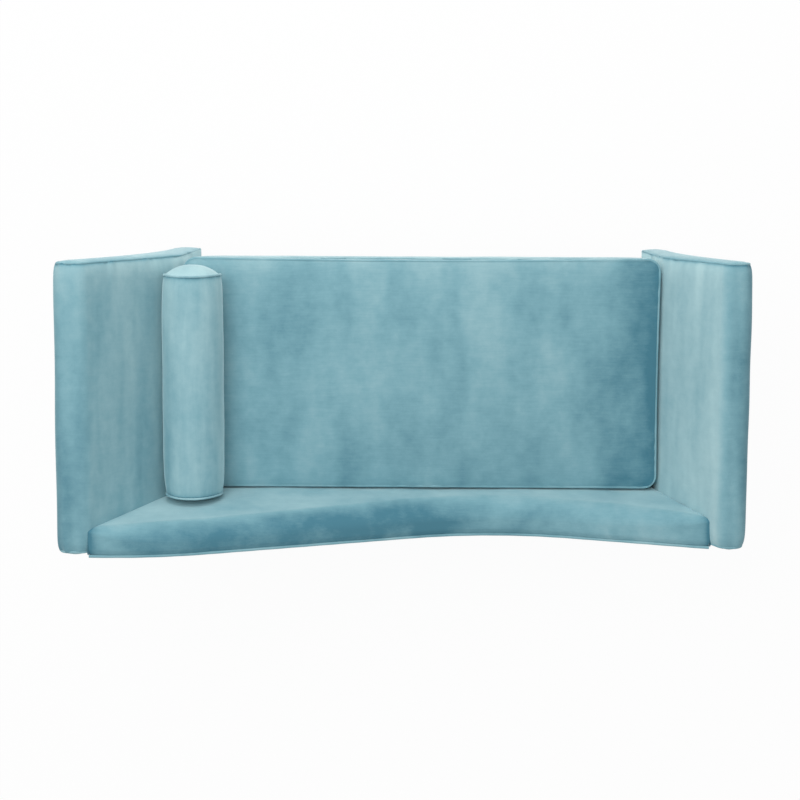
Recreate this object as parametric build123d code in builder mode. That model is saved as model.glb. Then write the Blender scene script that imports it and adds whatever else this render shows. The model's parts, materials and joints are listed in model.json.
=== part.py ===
from build123d import *
import math
import os

os.makedirs("parts", exist_ok=True)

# Heights, measured up from the floor
leg_length = 130.0
plate_thickness = 2.0
rail_height = 160.0
deck_pad_thickness = 12.0
cushion_thickness = 150.0
head_arm_height = 770.0
foot_arm_height = 702.0
arm_front_level = 627.0

# Lengths along X: the head end is at +X, the foot end at -X
head_seat_face = 565.0
foot_seat_face = 650.0
head_arm_width = 104.5
foot_arm_width = 81.0
head_base_width = 80.0
foot_base_width = 66.0

# Depths along Y: the front faces -Y
front_y = -341.2
seat_back_y = 245.8
back_base_y = 312.2
arm_set_in = 12.0

# Slopes in degrees from upright
head_arm_lean = 29.3
foot_arm_lean = 23.2
back_recline = 8.6
back_rake = 5.0
arm_front_rake = 3.0

# Roundings of the upholstery
knee_drop = 18.0
knee_radius = 80.0
arm_inner_roll = 28.0
arm_outer_roll = 32.0
back_roll = 30.0

# Top line of the back: a dip near the foot and a flat stretch at the head
back_head_drop = 2.0
back_foot_drop = 34.0
back_dip_x = -218.0
back_dip_corner = 534.0
back_dip_radius = 760.0
back_crest_x = 580.0
back_crest_radius = 800.0

# Layers of the padding, from the cloth inwards
cover_thickness = 2.0
arm_foam_thickness = 20.0
back_foam_thickness = 26.0
liner_thickness = 3.0
facing_thickness = 10.0
facing_edge = 3.5
welt_diameter = 7.0
welt_sides = 6
layer_gap = 0.3
joint_gap = 0.2
rest_gap = 0.3

# Room that cutting shapes have past the faces they cut, and the test for a square direction
overcut = 1.0
overrun = 60.0
nearly_square = 0.9

# Timber sections
rail_thickness = 25.0
former_thickness = 18.0
mount_rail_depth = 30.0
arm_top_rail_height = 60.0
back_top_rail_height = 60.0
post_thickness = 22.0
post_count = 4
post_tongue_depth = 27.0
post_foot_height = 60.0
centre_rail_count = 2
webbing_rail_height = 70.0
corner_block_side = 90.0
corner_block_height = 80.0

# Seat support
webbing_width = 60.0
webbing_thickness = 1.5
long_web_count = 4
cross_web_count = 8
dust_cover_thickness = 1.0
border_thickness = 6.0
border_edge = 3.6
deck_pad_edge = 7.0

# Seat cushion
cushion_side_gap = 3.0
cushion_back_gap = 6.0
cushion_corner_radius = 30.0
cushion_pull_in = 3.0
cushion_side_radius = 2500.0
cushion_crown = 16.0
crown_power = 4
crown_stations = (-1.0, -0.85, -0.6, 0.0, 0.6, 0.85, 1.0)
cushion_rim = 2.0
boxing_wall = 5.0
panel_thickness = 3.0
welt_proud = 2.0

# Zip in the rear boxing
zip_length = 900.0
zip_slot_height = 9.0
zip_tape_thickness = 1.6
zip_tape_recess = 2.6
slider_length = 12.0
slider_height = 7.0
slider_thickness = 1.8
slider_corner = 2.4

# Bolster
bolster_radius = 80.0
bolster_end_radius = 77.0
bolster_front_seam_y = -293.2
bolster_rear_seam_y = 244.8
bolster_front_bulge = 25.0
bolster_rear_bulge = 12.0
bolster_side_gap = 5.5
bolster_wall = 4.0
bolster_welt_diameter = 6.0
settle_rounds = 8
settle_steps = 50

# Legs and fasteners
leg_top_radius = 24.0
leg_bottom_radius = 14.0
leg_inset = 40.0
leg_edge = 1.5
glide_thickness = 4.0
glide_radius = 11.0
glide_pin_radius = 2.0
glide_pin_length = 14.0
plate_side = 60.0
plate_corner = 7.5
plate_screw_pitch = 44.0
screw_radius = 2.2
screw_length = 22.0
screw_head_radius = 4.2
screw_head_height = 2.4
hanger_radius = 4.0
hanger_in_leg = 32.0
hanger_above_plate = 20.0
bolt_radius = 4.0
bolt_head_radius = 7.5
bolt_head_height = 5.3
washer_radius = 11.0
washer_thickness = 1.6
nut_flange_radius = 9.0
nut_flange_thickness = 1.5
arm_bolt_pitch = 340.0
arm_bolt_count = 2
back_bolt_drop = 80.0
hole_gap = 0.2
shaft_sides = 6
washer_sides = 8
hex_sides = 6

# Levels and faces that follow from the sizes above
welt_radius = welt_diameter / 2
welt_seat = welt_radius + joint_gap / 2
frame_bottom = leg_length + plate_thickness
rail_top = frame_bottom + rail_height
deck_bottom = rail_top + 2 * webbing_thickness
deck_top = deck_bottom + deck_pad_thickness
cushion_bottom = deck_top + rest_gap
lower_welt_z = cushion_bottom + welt_radius
upper_welt_z = lower_welt_z + cushion_thickness
knee_z = upper_welt_z - knee_drop
back_head_height = head_arm_height - back_head_drop
back_foot_height = foot_arm_height - back_foot_drop
frame_inset = cover_thickness + arm_foam_thickness
rail_front_y = front_y + border_thickness + joint_gap
base_rear_y = back_base_y - facing_thickness - joint_gap
head_base_face = head_seat_face - joint_gap
foot_base_face = -foot_seat_face + joint_gap
base_length = head_base_face - foot_base_face
base_middle_x = (head_base_face + foot_base_face) / 2
inner_front_y = rail_front_y + rail_thickness
inner_rear_y = base_rear_y - rail_thickness
inner_head_x = head_base_face - rail_thickness
inner_foot_x = foot_base_face + rail_thickness
skirt_z = frame_bottom - overrun
above_all = max(head_arm_height, back_head_height) + overrun
far_out = 2 * (head_seat_face + foot_seat_face)
far_back = back_base_y - 2 * front_y


class Arm:
    """Sizes of one arm; side is +1 for the head arm and -1 for the foot arm."""

    def __init__(self, name, side, seat_face, lean, top, width, base_width):
        self.name = name
        self.side = side
        self.seat_face = seat_face
        self.lean = math.radians(lean)
        self.top = top
        self.reach = self.inner_x(top) + width
        self.base_x = seat_face + base_width

    def inner_x(self, z):
        return self.seat_face + math.tan(self.lean) * max(0.0, z - knee_z)


head = Arm(
    "head_arm", 1, head_seat_face, head_arm_lean, head_arm_height, head_arm_width, head_base_width
)
foot = Arm(
    "foot_arm", -1, foot_seat_face, foot_arm_lean, foot_arm_height, foot_arm_width, foot_base_width
)


def save(piece, label):
    piece.label = label
    export_step(piece, f"parts/{label}.step")


def block(x0, x1, y0, y1, z0, z1):
    """Plain square-edged piece between two corners."""
    with BuildPart() as piece:
        with Locations(((x0 + x1) / 2, (y0 + y1) / 2, (z0 + z1) / 2)):
            Box(abs(x1 - x0), abs(y1 - y0), abs(z1 - z0))
    return piece.part


def welt_cord(route):
    """Round cord carried along a wire."""
    with BuildPart() as cord:
        with BuildSketch(Plane(origin=route @ 0, z_dir=route % 0)):
            RegularPolygon(welt_radius, welt_sides)
        sweep(path=route)
    return cord.part


# Faces seen from the side, as Y at a height


def front_plane(z):
    return front_y + math.tan(math.radians(arm_front_rake)) * (z - arm_front_level)


def inside_y(z):
    return seat_back_y + math.tan(math.radians(back_recline)) * max(0.0, z - knee_z)


def outside_y(z):
    return back_base_y + math.tan(math.radians(back_rake)) * (z - frame_bottom)


def arm_rear(z):
    return outside_y(z) - arm_set_in


def side_band(front_face, front_move, rear_face, rear_move):
    """Side view between two faces, each moved along Y."""
    levels = (skirt_z, knee_z, above_all) if front_face is inside_y else (skirt_z, above_all)
    front_edge = [(front_face(z) + front_move, z) for z in levels]
    rear_edge = [(rear_face(z) + rear_move, z) for z in (above_all, skirt_z)]
    with BuildSketch() as side_view:
        with BuildLine():
            Polyline(*front_edge, *rear_edge, close=True)
        make_face()
    return side_view.sketch


def runs_along_x(edge):
    return abs((edge % 0.5).X) > nearly_square


def view_solid(elevation, side_view, roll=0.0):
    """Front view carried through the depth, cut to the side view, with a rolled inside top edge."""
    with BuildPart() as solid:
        with BuildSketch(Plane.XZ.offset(-far_back)):
            add(elevation)
        extrude(amount=2 * far_back)
        with BuildSketch(Plane.YZ.offset(-far_out)):
            add(side_view)
        extrude(amount=2 * far_out, mode=Mode.INTERSECT)
        if roll:
            inside = solid.faces().filter_by(lambda face: face.normal_at().Y < -nearly_square)
            level = inside.sort_by(Axis.Z)[-1].edges().filter_by(runs_along_x)
            fillet(level.filter_by(lambda edge: edge.center().Z > knee_z + overcut), roll)
    return solid.part


def end_face(solid, outward):
    """Flat face at the front (-1) or the rear (+1) of a solid."""
    return solid.faces().filter_by(lambda face: outward * face.normal_at().Y > nearly_square)[0]


# Arms: a leaning inner face over an upright one, a rolled top and a hollow outer face


def arm_outline(arm, inset=0.0):
    side = arm.side
    knee = (side * arm.seat_face, knee_z)
    inner_top = (side * arm.inner_x(arm.top), arm.top)
    outer_top = (side * arm.reach, arm.top)
    base = (side * arm.base_x, frame_bottom)
    with BuildSketch() as outline:
        with BuildLine():
            Polyline((side * arm.seat_face, skirt_z), knee, inner_top, outer_top)
            TangentArc(base, outer_top, tangent=(0, 1))
            Polyline(base, (side * arm.base_x, skirt_z), (side * arm.seat_face, skirt_z))
        make_face()
        fillet(outline.vertices().sort_by_distance(knee)[0], knee_radius)
        fillet(outline.vertices().sort_by_distance(inner_top)[0], arm_inner_roll)
        fillet(outline.vertices().sort_by_distance(outer_top)[0], arm_outer_roll)
        if inset:
            offset(amount=-inset)
        with Locations((0, skirt_z)):
            Rectangle(2 * far_out, 2 * (frame_bottom - skirt_z), mode=Mode.SUBTRACT)
    return outline.sketch


def mount_zone(arm, gap=0.0):
    """Bare timber zone below the deck, where the arm is bolted to the seat frame."""
    past = overcut if gap else 0.0
    width = mount_rail_depth + gap + past
    height = rail_height + gap + past
    with BuildSketch() as zone:
        with Locations((arm.side * (arm.seat_face - past + width / 2), frame_bottom - past + height / 2)):
            Rectangle(width, height)
    return zone.sketch


def arm_facing(arm, side_view):
    """End panel inside the welt."""
    return view_solid(arm_outline(arm, welt_diameter + joint_gap), side_view)


def padded_facing(arm, side_view):
    """End panel that is rounded along its front edge."""
    with BuildPart() as facing:
        add(arm_facing(arm, side_view))
        rim = end_face(facing, -1).edges()
        fillet(rim.filter_by(lambda edge: edge.center().Z > frame_bottom + overcut), facing_edge)
    return facing.part


def arm_welt(arm, side_view, outward):
    """Cord round the end of an arm, on the outward edge of a guide solid."""
    guide = view_solid(arm_outline(arm, welt_seat), side_view)
    edges = end_face(guide, outward).edges()
    return welt_cord(Wire(edges.filter_by(lambda edge: edge.center().Z > frame_bottom + overcut)))


def arm_bolt_places(arm):
    """Bolt centres on the seat side of the arm's end rail."""
    middle = (inner_front_y + inner_rear_y) / 2
    first = middle - arm_bolt_pitch * (arm_bolt_count - 1) / 2
    x = arm.side * (arm.seat_face - joint_gap - rail_thickness)
    z = frame_bottom + rail_height / 2
    return [(x, first + arm_bolt_pitch * i, z) for i in range(arm_bolt_count)]


def arm_bolt_holes(arm):
    reach = 2 * (rail_thickness + mount_rail_depth)
    with BuildPart() as holes:
        for place in arm_bolt_places(arm):
            with BuildSketch(Plane(origin=place, z_dir=(1, 0, 0))):
                RegularPolygon(bolt_radius + hole_gap, shaft_sides)
            extrude(amount=reach, both=True)
    return holes.part


former_in = facing_thickness + former_thickness
former_inset = frame_inset + layer_gap
frame_hollow = former_inset + liner_thickness

# Side views of the arms' layers, between the raked front and the raked rear
front_facing_side = side_band(front_plane, 0.0, front_plane, facing_thickness)
front_welt_side = side_band(front_plane, facing_thickness - welt_seat, front_plane, facing_thickness)
front_former_side = side_band(front_plane, facing_thickness, front_plane, former_in)
padded_side = side_band(front_plane, facing_thickness, arm_rear, -facing_thickness)
through_side = side_band(front_plane, 0.0, arm_rear, 0.0)
inner_side = side_band(front_plane, former_in, arm_rear, -former_in)
rear_former_side = side_band(arm_rear, -former_in, arm_rear, -facing_thickness)
rear_welt_side = side_band(arm_rear, -facing_thickness, arm_rear, welt_seat - facing_thickness)
rear_facing_side = side_band(arm_rear, -facing_thickness, arm_rear, 0.0)

for arm in (head, foot):
    mount_cut = view_solid(mount_zone(arm, layer_gap), through_side)

    with BuildPart() as cover:
        add(view_solid(arm_outline(arm), padded_side))
        add(view_solid(arm_outline(arm, cover_thickness), through_side), mode=Mode.SUBTRACT)
        add(mount_cut, mode=Mode.SUBTRACT)
    save(cover.part, f"{arm.name}_cover")

    with BuildPart() as foam:
        add(view_solid(arm_outline(arm, cover_thickness + layer_gap), padded_side))
        add(view_solid(arm_outline(arm, frame_inset), through_side), mode=Mode.SUBTRACT)
        add(mount_cut, mode=Mode.SUBTRACT)
    save(foam.part, f"{arm.name}_foam")

    with BuildPart() as formers:
        for former_side in (front_former_side, rear_former_side):
            add(view_solid(arm_outline(arm, former_inset), former_side))
            add(view_solid(mount_zone(arm), former_side))
    save(formers.part, f"{arm.name}_formers")

    with BuildPart() as liner:
        add(view_solid(arm_outline(arm, former_inset), inner_side))
        add(view_solid(arm_outline(arm, frame_hollow), through_side), mode=Mode.SUBTRACT)
        add(mount_cut, mode=Mode.SUBTRACT)
    save(liner.part, f"{arm.name}_liner")

    top_rail_low = arm.top - frame_hollow - arm_top_rail_height
    with BuildPart() as top_rail:
        add(view_solid(arm_outline(arm, frame_hollow), inner_side))
        add(block(-far_out, far_out, -far_back, far_back, top_rail_low, above_all), mode=Mode.INTERSECT)
    save(top_rail.part, f"{arm.name}_top_rail")

    with BuildPart() as mount_rail:
        add(view_solid(mount_zone(arm), inner_side))
        add(arm_bolt_holes(arm), mode=Mode.SUBTRACT)
    save(mount_rail.part, f"{arm.name}_mount_rail")

    save(padded_facing(arm, front_facing_side), f"{arm.name}_front_facing")
    save(arm_facing(arm, rear_facing_side), f"{arm.name}_rear_facing")

    with BuildPart() as welts:
        add(arm_welt(arm, front_welt_side, -1))
        add(arm_welt(arm, rear_welt_side, 1))
    save(welts.part, f"{arm.name}_welts")


# Back: upright behind the cushion, reclined above it, with a swooping top line


def back_elevation(inset=0.0, low=rail_top, drop=0.0):
    """Front view of the back between the two arms; drop lowers its top line."""
    head_top = head.inner_x(back_head_height) - joint_gap
    foot_top = -foot.inner_x(back_foot_height) + joint_gap
    dip = (back_dip_x, back_dip_corner)
    crest = (back_crest_x, back_head_height)
    with BuildSketch() as front_view:
        with BuildLine():
            top_line = FilletPolyline(
                (foot_top, back_foot_height),
                dip,
                crest,
                (head_top, back_head_height),
                radius=[back_dip_radius, back_crest_radius],
            )
            Polyline(
                top_line @ 1,
                (head_base_face, knee_z),
                (head_base_face, skirt_z),
                (foot_base_face, skirt_z),
                (foot_base_face, knee_z),
                top_line @ 0,
            )
        make_face()
        if inset:
            offset(amount=-inset)
        with Locations((0, skirt_z)):
            Rectangle(2 * far_out, 2 * (low - skirt_z), mode=Mode.SUBTRACT)
    with BuildSketch() as lowered:
        with Locations((0, -drop)):
            add(front_view.sketch)
    return lowered.sketch


back_frame_in = cover_thickness + layer_gap + back_foam_thickness
back_top_in = cover_thickness + arm_foam_thickness
post_front_in = back_frame_in + liner_thickness
seam_in = facing_thickness + joint_gap
pad_low = rail_top + post_foot_height + layer_gap

with BuildPart() as back_cover:
    add(view_solid(back_elevation(), side_band(inside_y, 0.0, outside_y, -seam_in), back_roll))
    hollow_side = side_band(inside_y, cover_thickness, outside_y, facing_thickness)
    hollow_front = back_elevation(cover_thickness, rail_top - overcut)
    add(view_solid(hollow_front, hollow_side, back_roll - cover_thickness), mode=Mode.SUBTRACT)
save(back_cover.part, "back_cover")

pad_in = cover_thickness + layer_gap
with BuildPart() as back_foam:
    pad_side = side_band(inside_y, pad_in, outside_y, -seam_in)
    add(view_solid(back_elevation(pad_in, pad_low), pad_side, back_roll - pad_in))
    pad_hollow_side = side_band(inside_y, back_frame_in - layer_gap, outside_y, facing_thickness)
    pad_hollow_front = back_elevation(back_top_in - layer_gap, rail_top - overcut)
    add(view_solid(pad_hollow_front, pad_hollow_side), mode=Mode.SUBTRACT)
save(back_foam.part, "back_foam")

with BuildPart() as back_liner:
    liner_side = side_band(inside_y, back_frame_in, outside_y, -seam_in)
    add(view_solid(back_elevation(back_top_in, pad_low), liner_side))
    behind_liner = side_band(inside_y, post_front_in, outside_y, facing_thickness)
    add(view_solid(back_elevation(back_top_in, rail_top - overcut), behind_liner), mode=Mode.SUBTRACT)
save(back_liner.part, "back_liner")

rear_frame = view_solid(
    back_elevation(back_top_in), side_band(inside_y, post_front_in, outside_y, -seam_in)
)
under_top_rail = view_solid(
    back_elevation(back_top_in, skirt_z + overcut, back_top_rail_height), behind_liner
)
with BuildPart() as back_top_rail:
    add(rear_frame)
    add(under_top_rail, mode=Mode.SUBTRACT)
save(back_top_rail.part, "back_top_rail")

# Uprights stand on the rear seat rail, with tongues that are bolted to its inner side
post_margin = rail_thickness + corner_block_side + post_thickness
first_post_x = foot_base_face + post_margin
post_step = (base_length - 2 * post_margin) / (post_count - 1)
post_places = [first_post_x + post_step * i for i in range(post_count)]
tongue_front_y = inner_rear_y - joint_gap - post_tongue_depth
foot_rear_y = seat_back_y + post_front_in + post_thickness / 2
back_bolt_z = rail_top - back_bolt_drop
with BuildPart() as post_slices:
    for x in post_places:
        with Locations((x, 0, above_all / 2)):
            Box(post_thickness, 2 * far_back, above_all)
with BuildPart() as back_posts:
    add(rear_frame)
    add(under_top_rail, mode=Mode.INTERSECT)
    add(post_slices.part, mode=Mode.INTERSECT)
    for x in post_places:
        tongue_low = frame_bottom + 2 * joint_gap
        with Locations((x, tongue_front_y + post_tongue_depth / 2, (tongue_low + rail_top) / 2)):
            Box(post_thickness, post_tongue_depth, rail_top - tongue_low)
        with Locations((x, (tongue_front_y + foot_rear_y) / 2, rail_top + post_foot_height / 2)):
            Box(post_thickness, foot_rear_y - tongue_front_y, post_foot_height)
        with BuildSketch(Plane(origin=(x, inner_rear_y, back_bolt_z), z_dir=(0, 1, 0))):
            RegularPolygon(bolt_radius + hole_gap, shaft_sides)
        extrude(amount=-2 * post_tongue_depth, mode=Mode.SUBTRACT)
save(back_posts.part, "back_posts")

# The outside panel has a welt along its top line
facing_side = side_band(outside_y, -facing_thickness, outside_y, 0.0)
save(view_solid(back_elevation(welt_diameter + joint_gap, frame_bottom), facing_side), "back_outer_facing")

welt_side = side_band(outside_y, -facing_thickness, outside_y, welt_seat - facing_thickness)
welt_guide = view_solid(back_elevation(welt_seat, knee_z), welt_side)
level_edges = end_face(welt_guide, 1).edges().filter_by(runs_along_x)
top_edges = level_edges.filter_by(lambda edge: edge.center().Z > knee_z + overcut)
save(welt_cord(Wire(top_edges)), "back_welt")


# Seat frame between the arms

leg_places = [
    (head_base_face - leg_inset, rail_front_y + leg_inset),
    (head_base_face - leg_inset, base_rear_y - leg_inset),
    (foot_base_face + leg_inset, rail_front_y + leg_inset),
    (foot_base_face + leg_inset, base_rear_y - leg_inset),
]
screw_offset = plate_screw_pitch / 2
screw_places = [
    (x + dx, y + dy)
    for x, y in leg_places
    for dx in (-screw_offset, screw_offset)
    for dy in (-screw_offset, screw_offset)
]


def leg_holes():
    """Drillings from below for the plate screws and the hanger bolts."""
    with BuildPart() as holes:
        with BuildSketch(Plane.XY.offset(frame_bottom - plate_thickness)):
            with Locations(*screw_places):
                RegularPolygon(screw_radius + hole_gap, shaft_sides)
        extrude(amount=screw_length + 2 * plate_thickness)
        with BuildSketch(Plane.XY.offset(frame_bottom - plate_thickness)):
            with Locations(*leg_places):
                RegularPolygon(hanger_radius + hole_gap, shaft_sides)
        extrude(amount=hanger_above_plate + 2 * plate_thickness)
    return holes.part


drilled = leg_holes()

# The tee nuts of the back are sunk into the rear rail, so the outside panel lies flat
flange_sink = nut_flange_thickness + hole_gap
with BuildPart() as rear_bolt_holes:
    for x in post_places:
        with BuildSketch(Plane(origin=(x, base_rear_y, back_bolt_z), z_dir=(0, 1, 0))):
            RegularPolygon(bolt_radius + hole_gap, shaft_sides)
        extrude(amount=2 * rail_thickness, both=True)
        with BuildSketch(Plane(origin=(x, base_rear_y, back_bolt_z), z_dir=(0, 1, 0))):
            RegularPolygon(nut_flange_radius + hole_gap, washer_sides)
        extrude(amount=-flange_sink)

with BuildPart() as front_rail:
    add(block(foot_base_face, head_base_face, rail_front_y, inner_front_y, frame_bottom, rail_top))
    add(drilled, mode=Mode.SUBTRACT)
save(front_rail.part, "front_rail")

with BuildPart() as back_rail:
    add(block(foot_base_face, head_base_face, inner_rear_y, base_rear_y, frame_bottom, rail_top))
    add(drilled, mode=Mode.SUBTRACT)
    add(rear_bolt_holes.part, mode=Mode.SUBTRACT)
save(back_rail.part, "back_rail")

for arm, outer_x, inner_x, label in (
    (head, head_base_face, inner_head_x, "head_end_rail"),
    (foot, foot_base_face, inner_foot_x, "foot_end_rail"),
):
    with BuildPart() as end_rail:
        add(block(outer_x, inner_x, inner_front_y, inner_rear_y, frame_bottom, rail_top))
        add(drilled, mode=Mode.SUBTRACT)
        add(arm_bolt_holes(arm), mode=Mode.SUBTRACT)
    save(end_rail.part, label)

# The webbing is tacked at the rear to a rail under the inside face of the back
webbing_rail_rear = seat_back_y - cushion_back_gap
webbing_rail_front = webbing_rail_rear - rail_thickness
centre_rail_height = rail_height - webbing_rail_height
centre_rail_top = frame_bottom + centre_rail_height
webbing_rail = block(
    inner_foot_x, inner_head_x, webbing_rail_front, webbing_rail_rear, centre_rail_top, rail_top
)
save(webbing_rail, "webbing_rail")

centre_step = (inner_head_x - inner_foot_x) / (centre_rail_count + 1)
with BuildPart() as centre_rails:
    for i in range(centre_rail_count):
        x = inner_foot_x + centre_step * (i + 1)
        with Locations((x, (inner_front_y + inner_rear_y) / 2, frame_bottom + centre_rail_height / 2)):
            Box(rail_thickness, inner_rear_y - inner_front_y, centre_rail_height)
save(centre_rails.part, "centre_rails")

with BuildPart() as corner_blocks:
    for x, dx in ((inner_head_x, -1), (inner_foot_x, 1)):
        for y, dy in ((inner_front_y, 1), (inner_rear_y, -1)):
            with BuildSketch(Plane.XY.offset(frame_bottom)):
                with BuildLine():
                    Polyline(
                        (x, y),
                        (x + dx * corner_block_side, y),
                        (x, y + dy * corner_block_side),
                        close=True,
                    )
                make_face()
            extrude(amount=corner_block_height)
    add(drilled, mode=Mode.SUBTRACT)
save(corner_blocks.part, "corner_blocks")

# Seat support: straps both ways over the rails, a felt pad on top and a cloth below
web_depth = webbing_rail_rear - rail_front_y
long_step = (webbing_rail_front - inner_front_y) / long_web_count
with BuildPart() as long_webs:
    for i in range(long_web_count):
        y = inner_front_y + long_step * (i + 0.5)
        with Locations((base_middle_x, y, rail_top + webbing_thickness / 2)):
            Box(base_length, webbing_width, webbing_thickness)
save(long_webs.part, "seat_webbing_long")

cross_step = base_length / cross_web_count
with BuildPart() as cross_webs:
    for i in range(cross_web_count):
        x = foot_base_face + cross_step * (i + 0.5)
        with Locations((x, rail_front_y + web_depth / 2, deck_bottom - webbing_thickness / 2)):
            Box(webbing_width, web_depth, webbing_thickness)
save(cross_webs.part, "seat_webbing_cross")

pad_rear_y = seat_back_y - joint_gap
with BuildPart() as deck_pad:
    add(block(foot_base_face, head_base_face, rail_front_y, pad_rear_y, deck_bottom, deck_top))
    upper_edges = deck_pad.edges().filter_by(Axis.X).group_by(Axis.Z)[-1]
    fillet(upper_edges.sort_by(Axis.Y)[0], deck_pad_edge)
save(deck_pad.part, "seat_deck_pad")

dust_cover_low = frame_bottom - dust_cover_thickness
with BuildPart() as dust_cover:
    add(block(foot_base_face, head_base_face, rail_front_y, base_rear_y, dust_cover_low, frame_bottom))
    with BuildSketch(Plane.XY.offset(frame_bottom - plate_thickness)):
        with Locations(*leg_places):
            Rectangle(plate_side + 2 * plate_thickness, plate_side + 2 * plate_thickness)
    extrude(amount=2 * plate_thickness, mode=Mode.SUBTRACT)
save(dust_cover.part, "dust_cover")

with BuildPart() as front_border:
    with BuildSketch(Plane.YZ.offset(foot_base_face)):
        with Locations((front_y + border_thickness / 2, (frame_bottom + deck_bottom) / 2)):
            Rectangle(border_thickness, deck_bottom - frame_bottom)
    extrude(amount=base_length)
    fillet(front_border.edges().filter_by(Axis.X).sort_by(Axis.Y)[0:2], border_edge)
save(front_border.part, "front_border")


# Seat cushion: a boxed cushion with welts, a crowned top and slightly drawn-in sides

cushion_foot_x = -foot_seat_face + cushion_side_gap + welt_proud
cushion_head_x = head_seat_face - cushion_side_gap - welt_proud
cushion_front_y = front_y + welt_proud
cushion_rear_y = seat_back_y - cushion_back_gap
cushion_middle_x = (cushion_foot_x + cushion_head_x) / 2
cushion_middle_y = (cushion_front_y + cushion_rear_y) / 2


def cushion_plan(inset=0.0):
    """View from above: three sides draw in, and the rear side lies straight along the back."""
    corners = [
        (cushion_foot_x, cushion_front_y),
        (cushion_head_x, cushion_front_y),
        (cushion_head_x, cushion_rear_y),
        (cushion_foot_x, cushion_rear_y),
    ]
    middles = [
        (cushion_middle_x, cushion_front_y + cushion_pull_in),
        (cushion_head_x - cushion_pull_in, cushion_middle_y),
        (cushion_foot_x + cushion_pull_in, cushion_middle_y),
    ]
    loop = [corners[0], middles[0], corners[1], middles[1], corners[2], corners[3], middles[2]]
    with BuildSketch() as plan:
        with BuildLine():
            Polyline(*loop, close=True)
        make_face()
        fillet([plan.vertices().sort_by_distance(corner)[0] for corner in corners], cushion_corner_radius)
        fillet([plan.vertices().sort_by_distance(middle)[0] for middle in middles], cushion_side_radius)
        if inset:
            offset(amount=-inset)
    return plan.sketch


def cushion_slab(inset, low, high):
    with BuildPart() as slab:
        with BuildSketch(Plane.XY.offset(low)):
            add(cushion_plan(inset))
        extrude(amount=high - low)
    return slab.part


welt_in = welt_radius - welt_proud
panel_in = welt_in + welt_radius + joint_gap
boxing_low = lower_welt_z + welt_radius + joint_gap
boxing_high = upper_welt_z - welt_radius - joint_gap
core_low = cushion_bottom + panel_thickness + joint_gap
zip_z = (boxing_low + boxing_high) / 2

with BuildPart() as cushion_core:
    add(cushion_slab(boxing_wall + layer_gap, core_low, boxing_high))
save(cushion_core.part, "cushion_core")

with BuildPart() as cushion_boxing:
    add(cushion_slab(0.0, boxing_low, boxing_high))
    add(cushion_slab(boxing_wall, boxing_low - overcut, boxing_high + overcut), mode=Mode.SUBTRACT)
    add(
        block(
            cushion_middle_x - zip_length / 2,
            cushion_middle_x + zip_length / 2,
            cushion_middle_y,
            cushion_rear_y + overcut,
            zip_z - zip_slot_height / 2,
            zip_z + zip_slot_height / 2,
        ),
        mode=Mode.SUBTRACT,
    )
save(cushion_boxing.part, "cushion_boxing")

with BuildPart() as cushion_bottom_panel:
    add(cushion_slab(panel_in, cushion_bottom, cushion_bottom + panel_thickness))
save(cushion_bottom_panel.part, "cushion_bottom_panel")

crown_low = upper_welt_z - welt_radius
crown_rim = upper_welt_z + cushion_rim
cushion_half_length = (cushion_head_x - cushion_foot_x) / 2


def crown_rise(x):
    """Height of the crown above the rim: nearly level along the middle and low at the ends."""
    share = (x - cushion_middle_x) / cushion_half_length
    return cushion_rim + cushion_crown * (1 - share**crown_power)


with BuildPart() as crown_blank:
    for share in crown_stations:
        x = cushion_middle_x + share * cushion_half_length
        rise = crown_rise(x)
        with BuildSketch(Plane.YZ.offset(x)):
            with BuildLine():
                Polyline(
                    (cushion_front_y, crown_rim),
                    (cushion_front_y, crown_low),
                    (cushion_rear_y, crown_low),
                    (cushion_rear_y, crown_rim),
                )
                ThreePointArc(
                    (cushion_rear_y, crown_rim),
                    (cushion_middle_y, crown_rim + rise),
                    (cushion_front_y, crown_rim),
                )
            make_face()
    loft()
with BuildPart() as cushion_top_panel:
    add(crown_blank.part)
    add(cushion_slab(panel_in, crown_low - overcut, crown_rim + overrun), mode=Mode.INTERSECT)
save(cushion_top_panel.part, "cushion_top_panel")

with BuildPart() as cushion_welts:
    for z in (lower_welt_z, upper_welt_z):
        add(welt_cord(Plane.XY.offset(z).from_local_coords(Wire(cushion_plan(welt_in).edges()))))
save(cushion_welts.part, "cushion_welts")

tape_rear_y = cushion_rear_y - zip_tape_recess
tape_front_y = tape_rear_y - zip_tape_thickness
tape_height = zip_slot_height - 2 * joint_gap
with BuildPart() as cushion_zip:
    add(
        block(
            cushion_middle_x - zip_length / 2 + joint_gap,
            cushion_middle_x + zip_length / 2 - joint_gap,
            tape_front_y,
            tape_rear_y,
            zip_z - tape_height / 2,
            zip_z + tape_height / 2,
        )
    )
save(cushion_zip.part, "cushion_zip")

# Closed zip: the slider stands at the head end of its run
slider_x = cushion_middle_x + zip_length / 2 - slider_length
with BuildPart() as zip_slider:
    with BuildSketch(Plane.XZ.offset(-(tape_rear_y + rest_gap))):
        with Locations((slider_x, zip_z)):
            RectangleRounded(slider_length, slider_height, slider_corner)
    extrude(amount=-slider_thickness)
save(zip_slider.part, "zip_slider")


# Bolster: a round roll along the head arm, a little fuller in the middle, with domed ends

bolster_welt_radius = bolster_welt_diameter / 2


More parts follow.
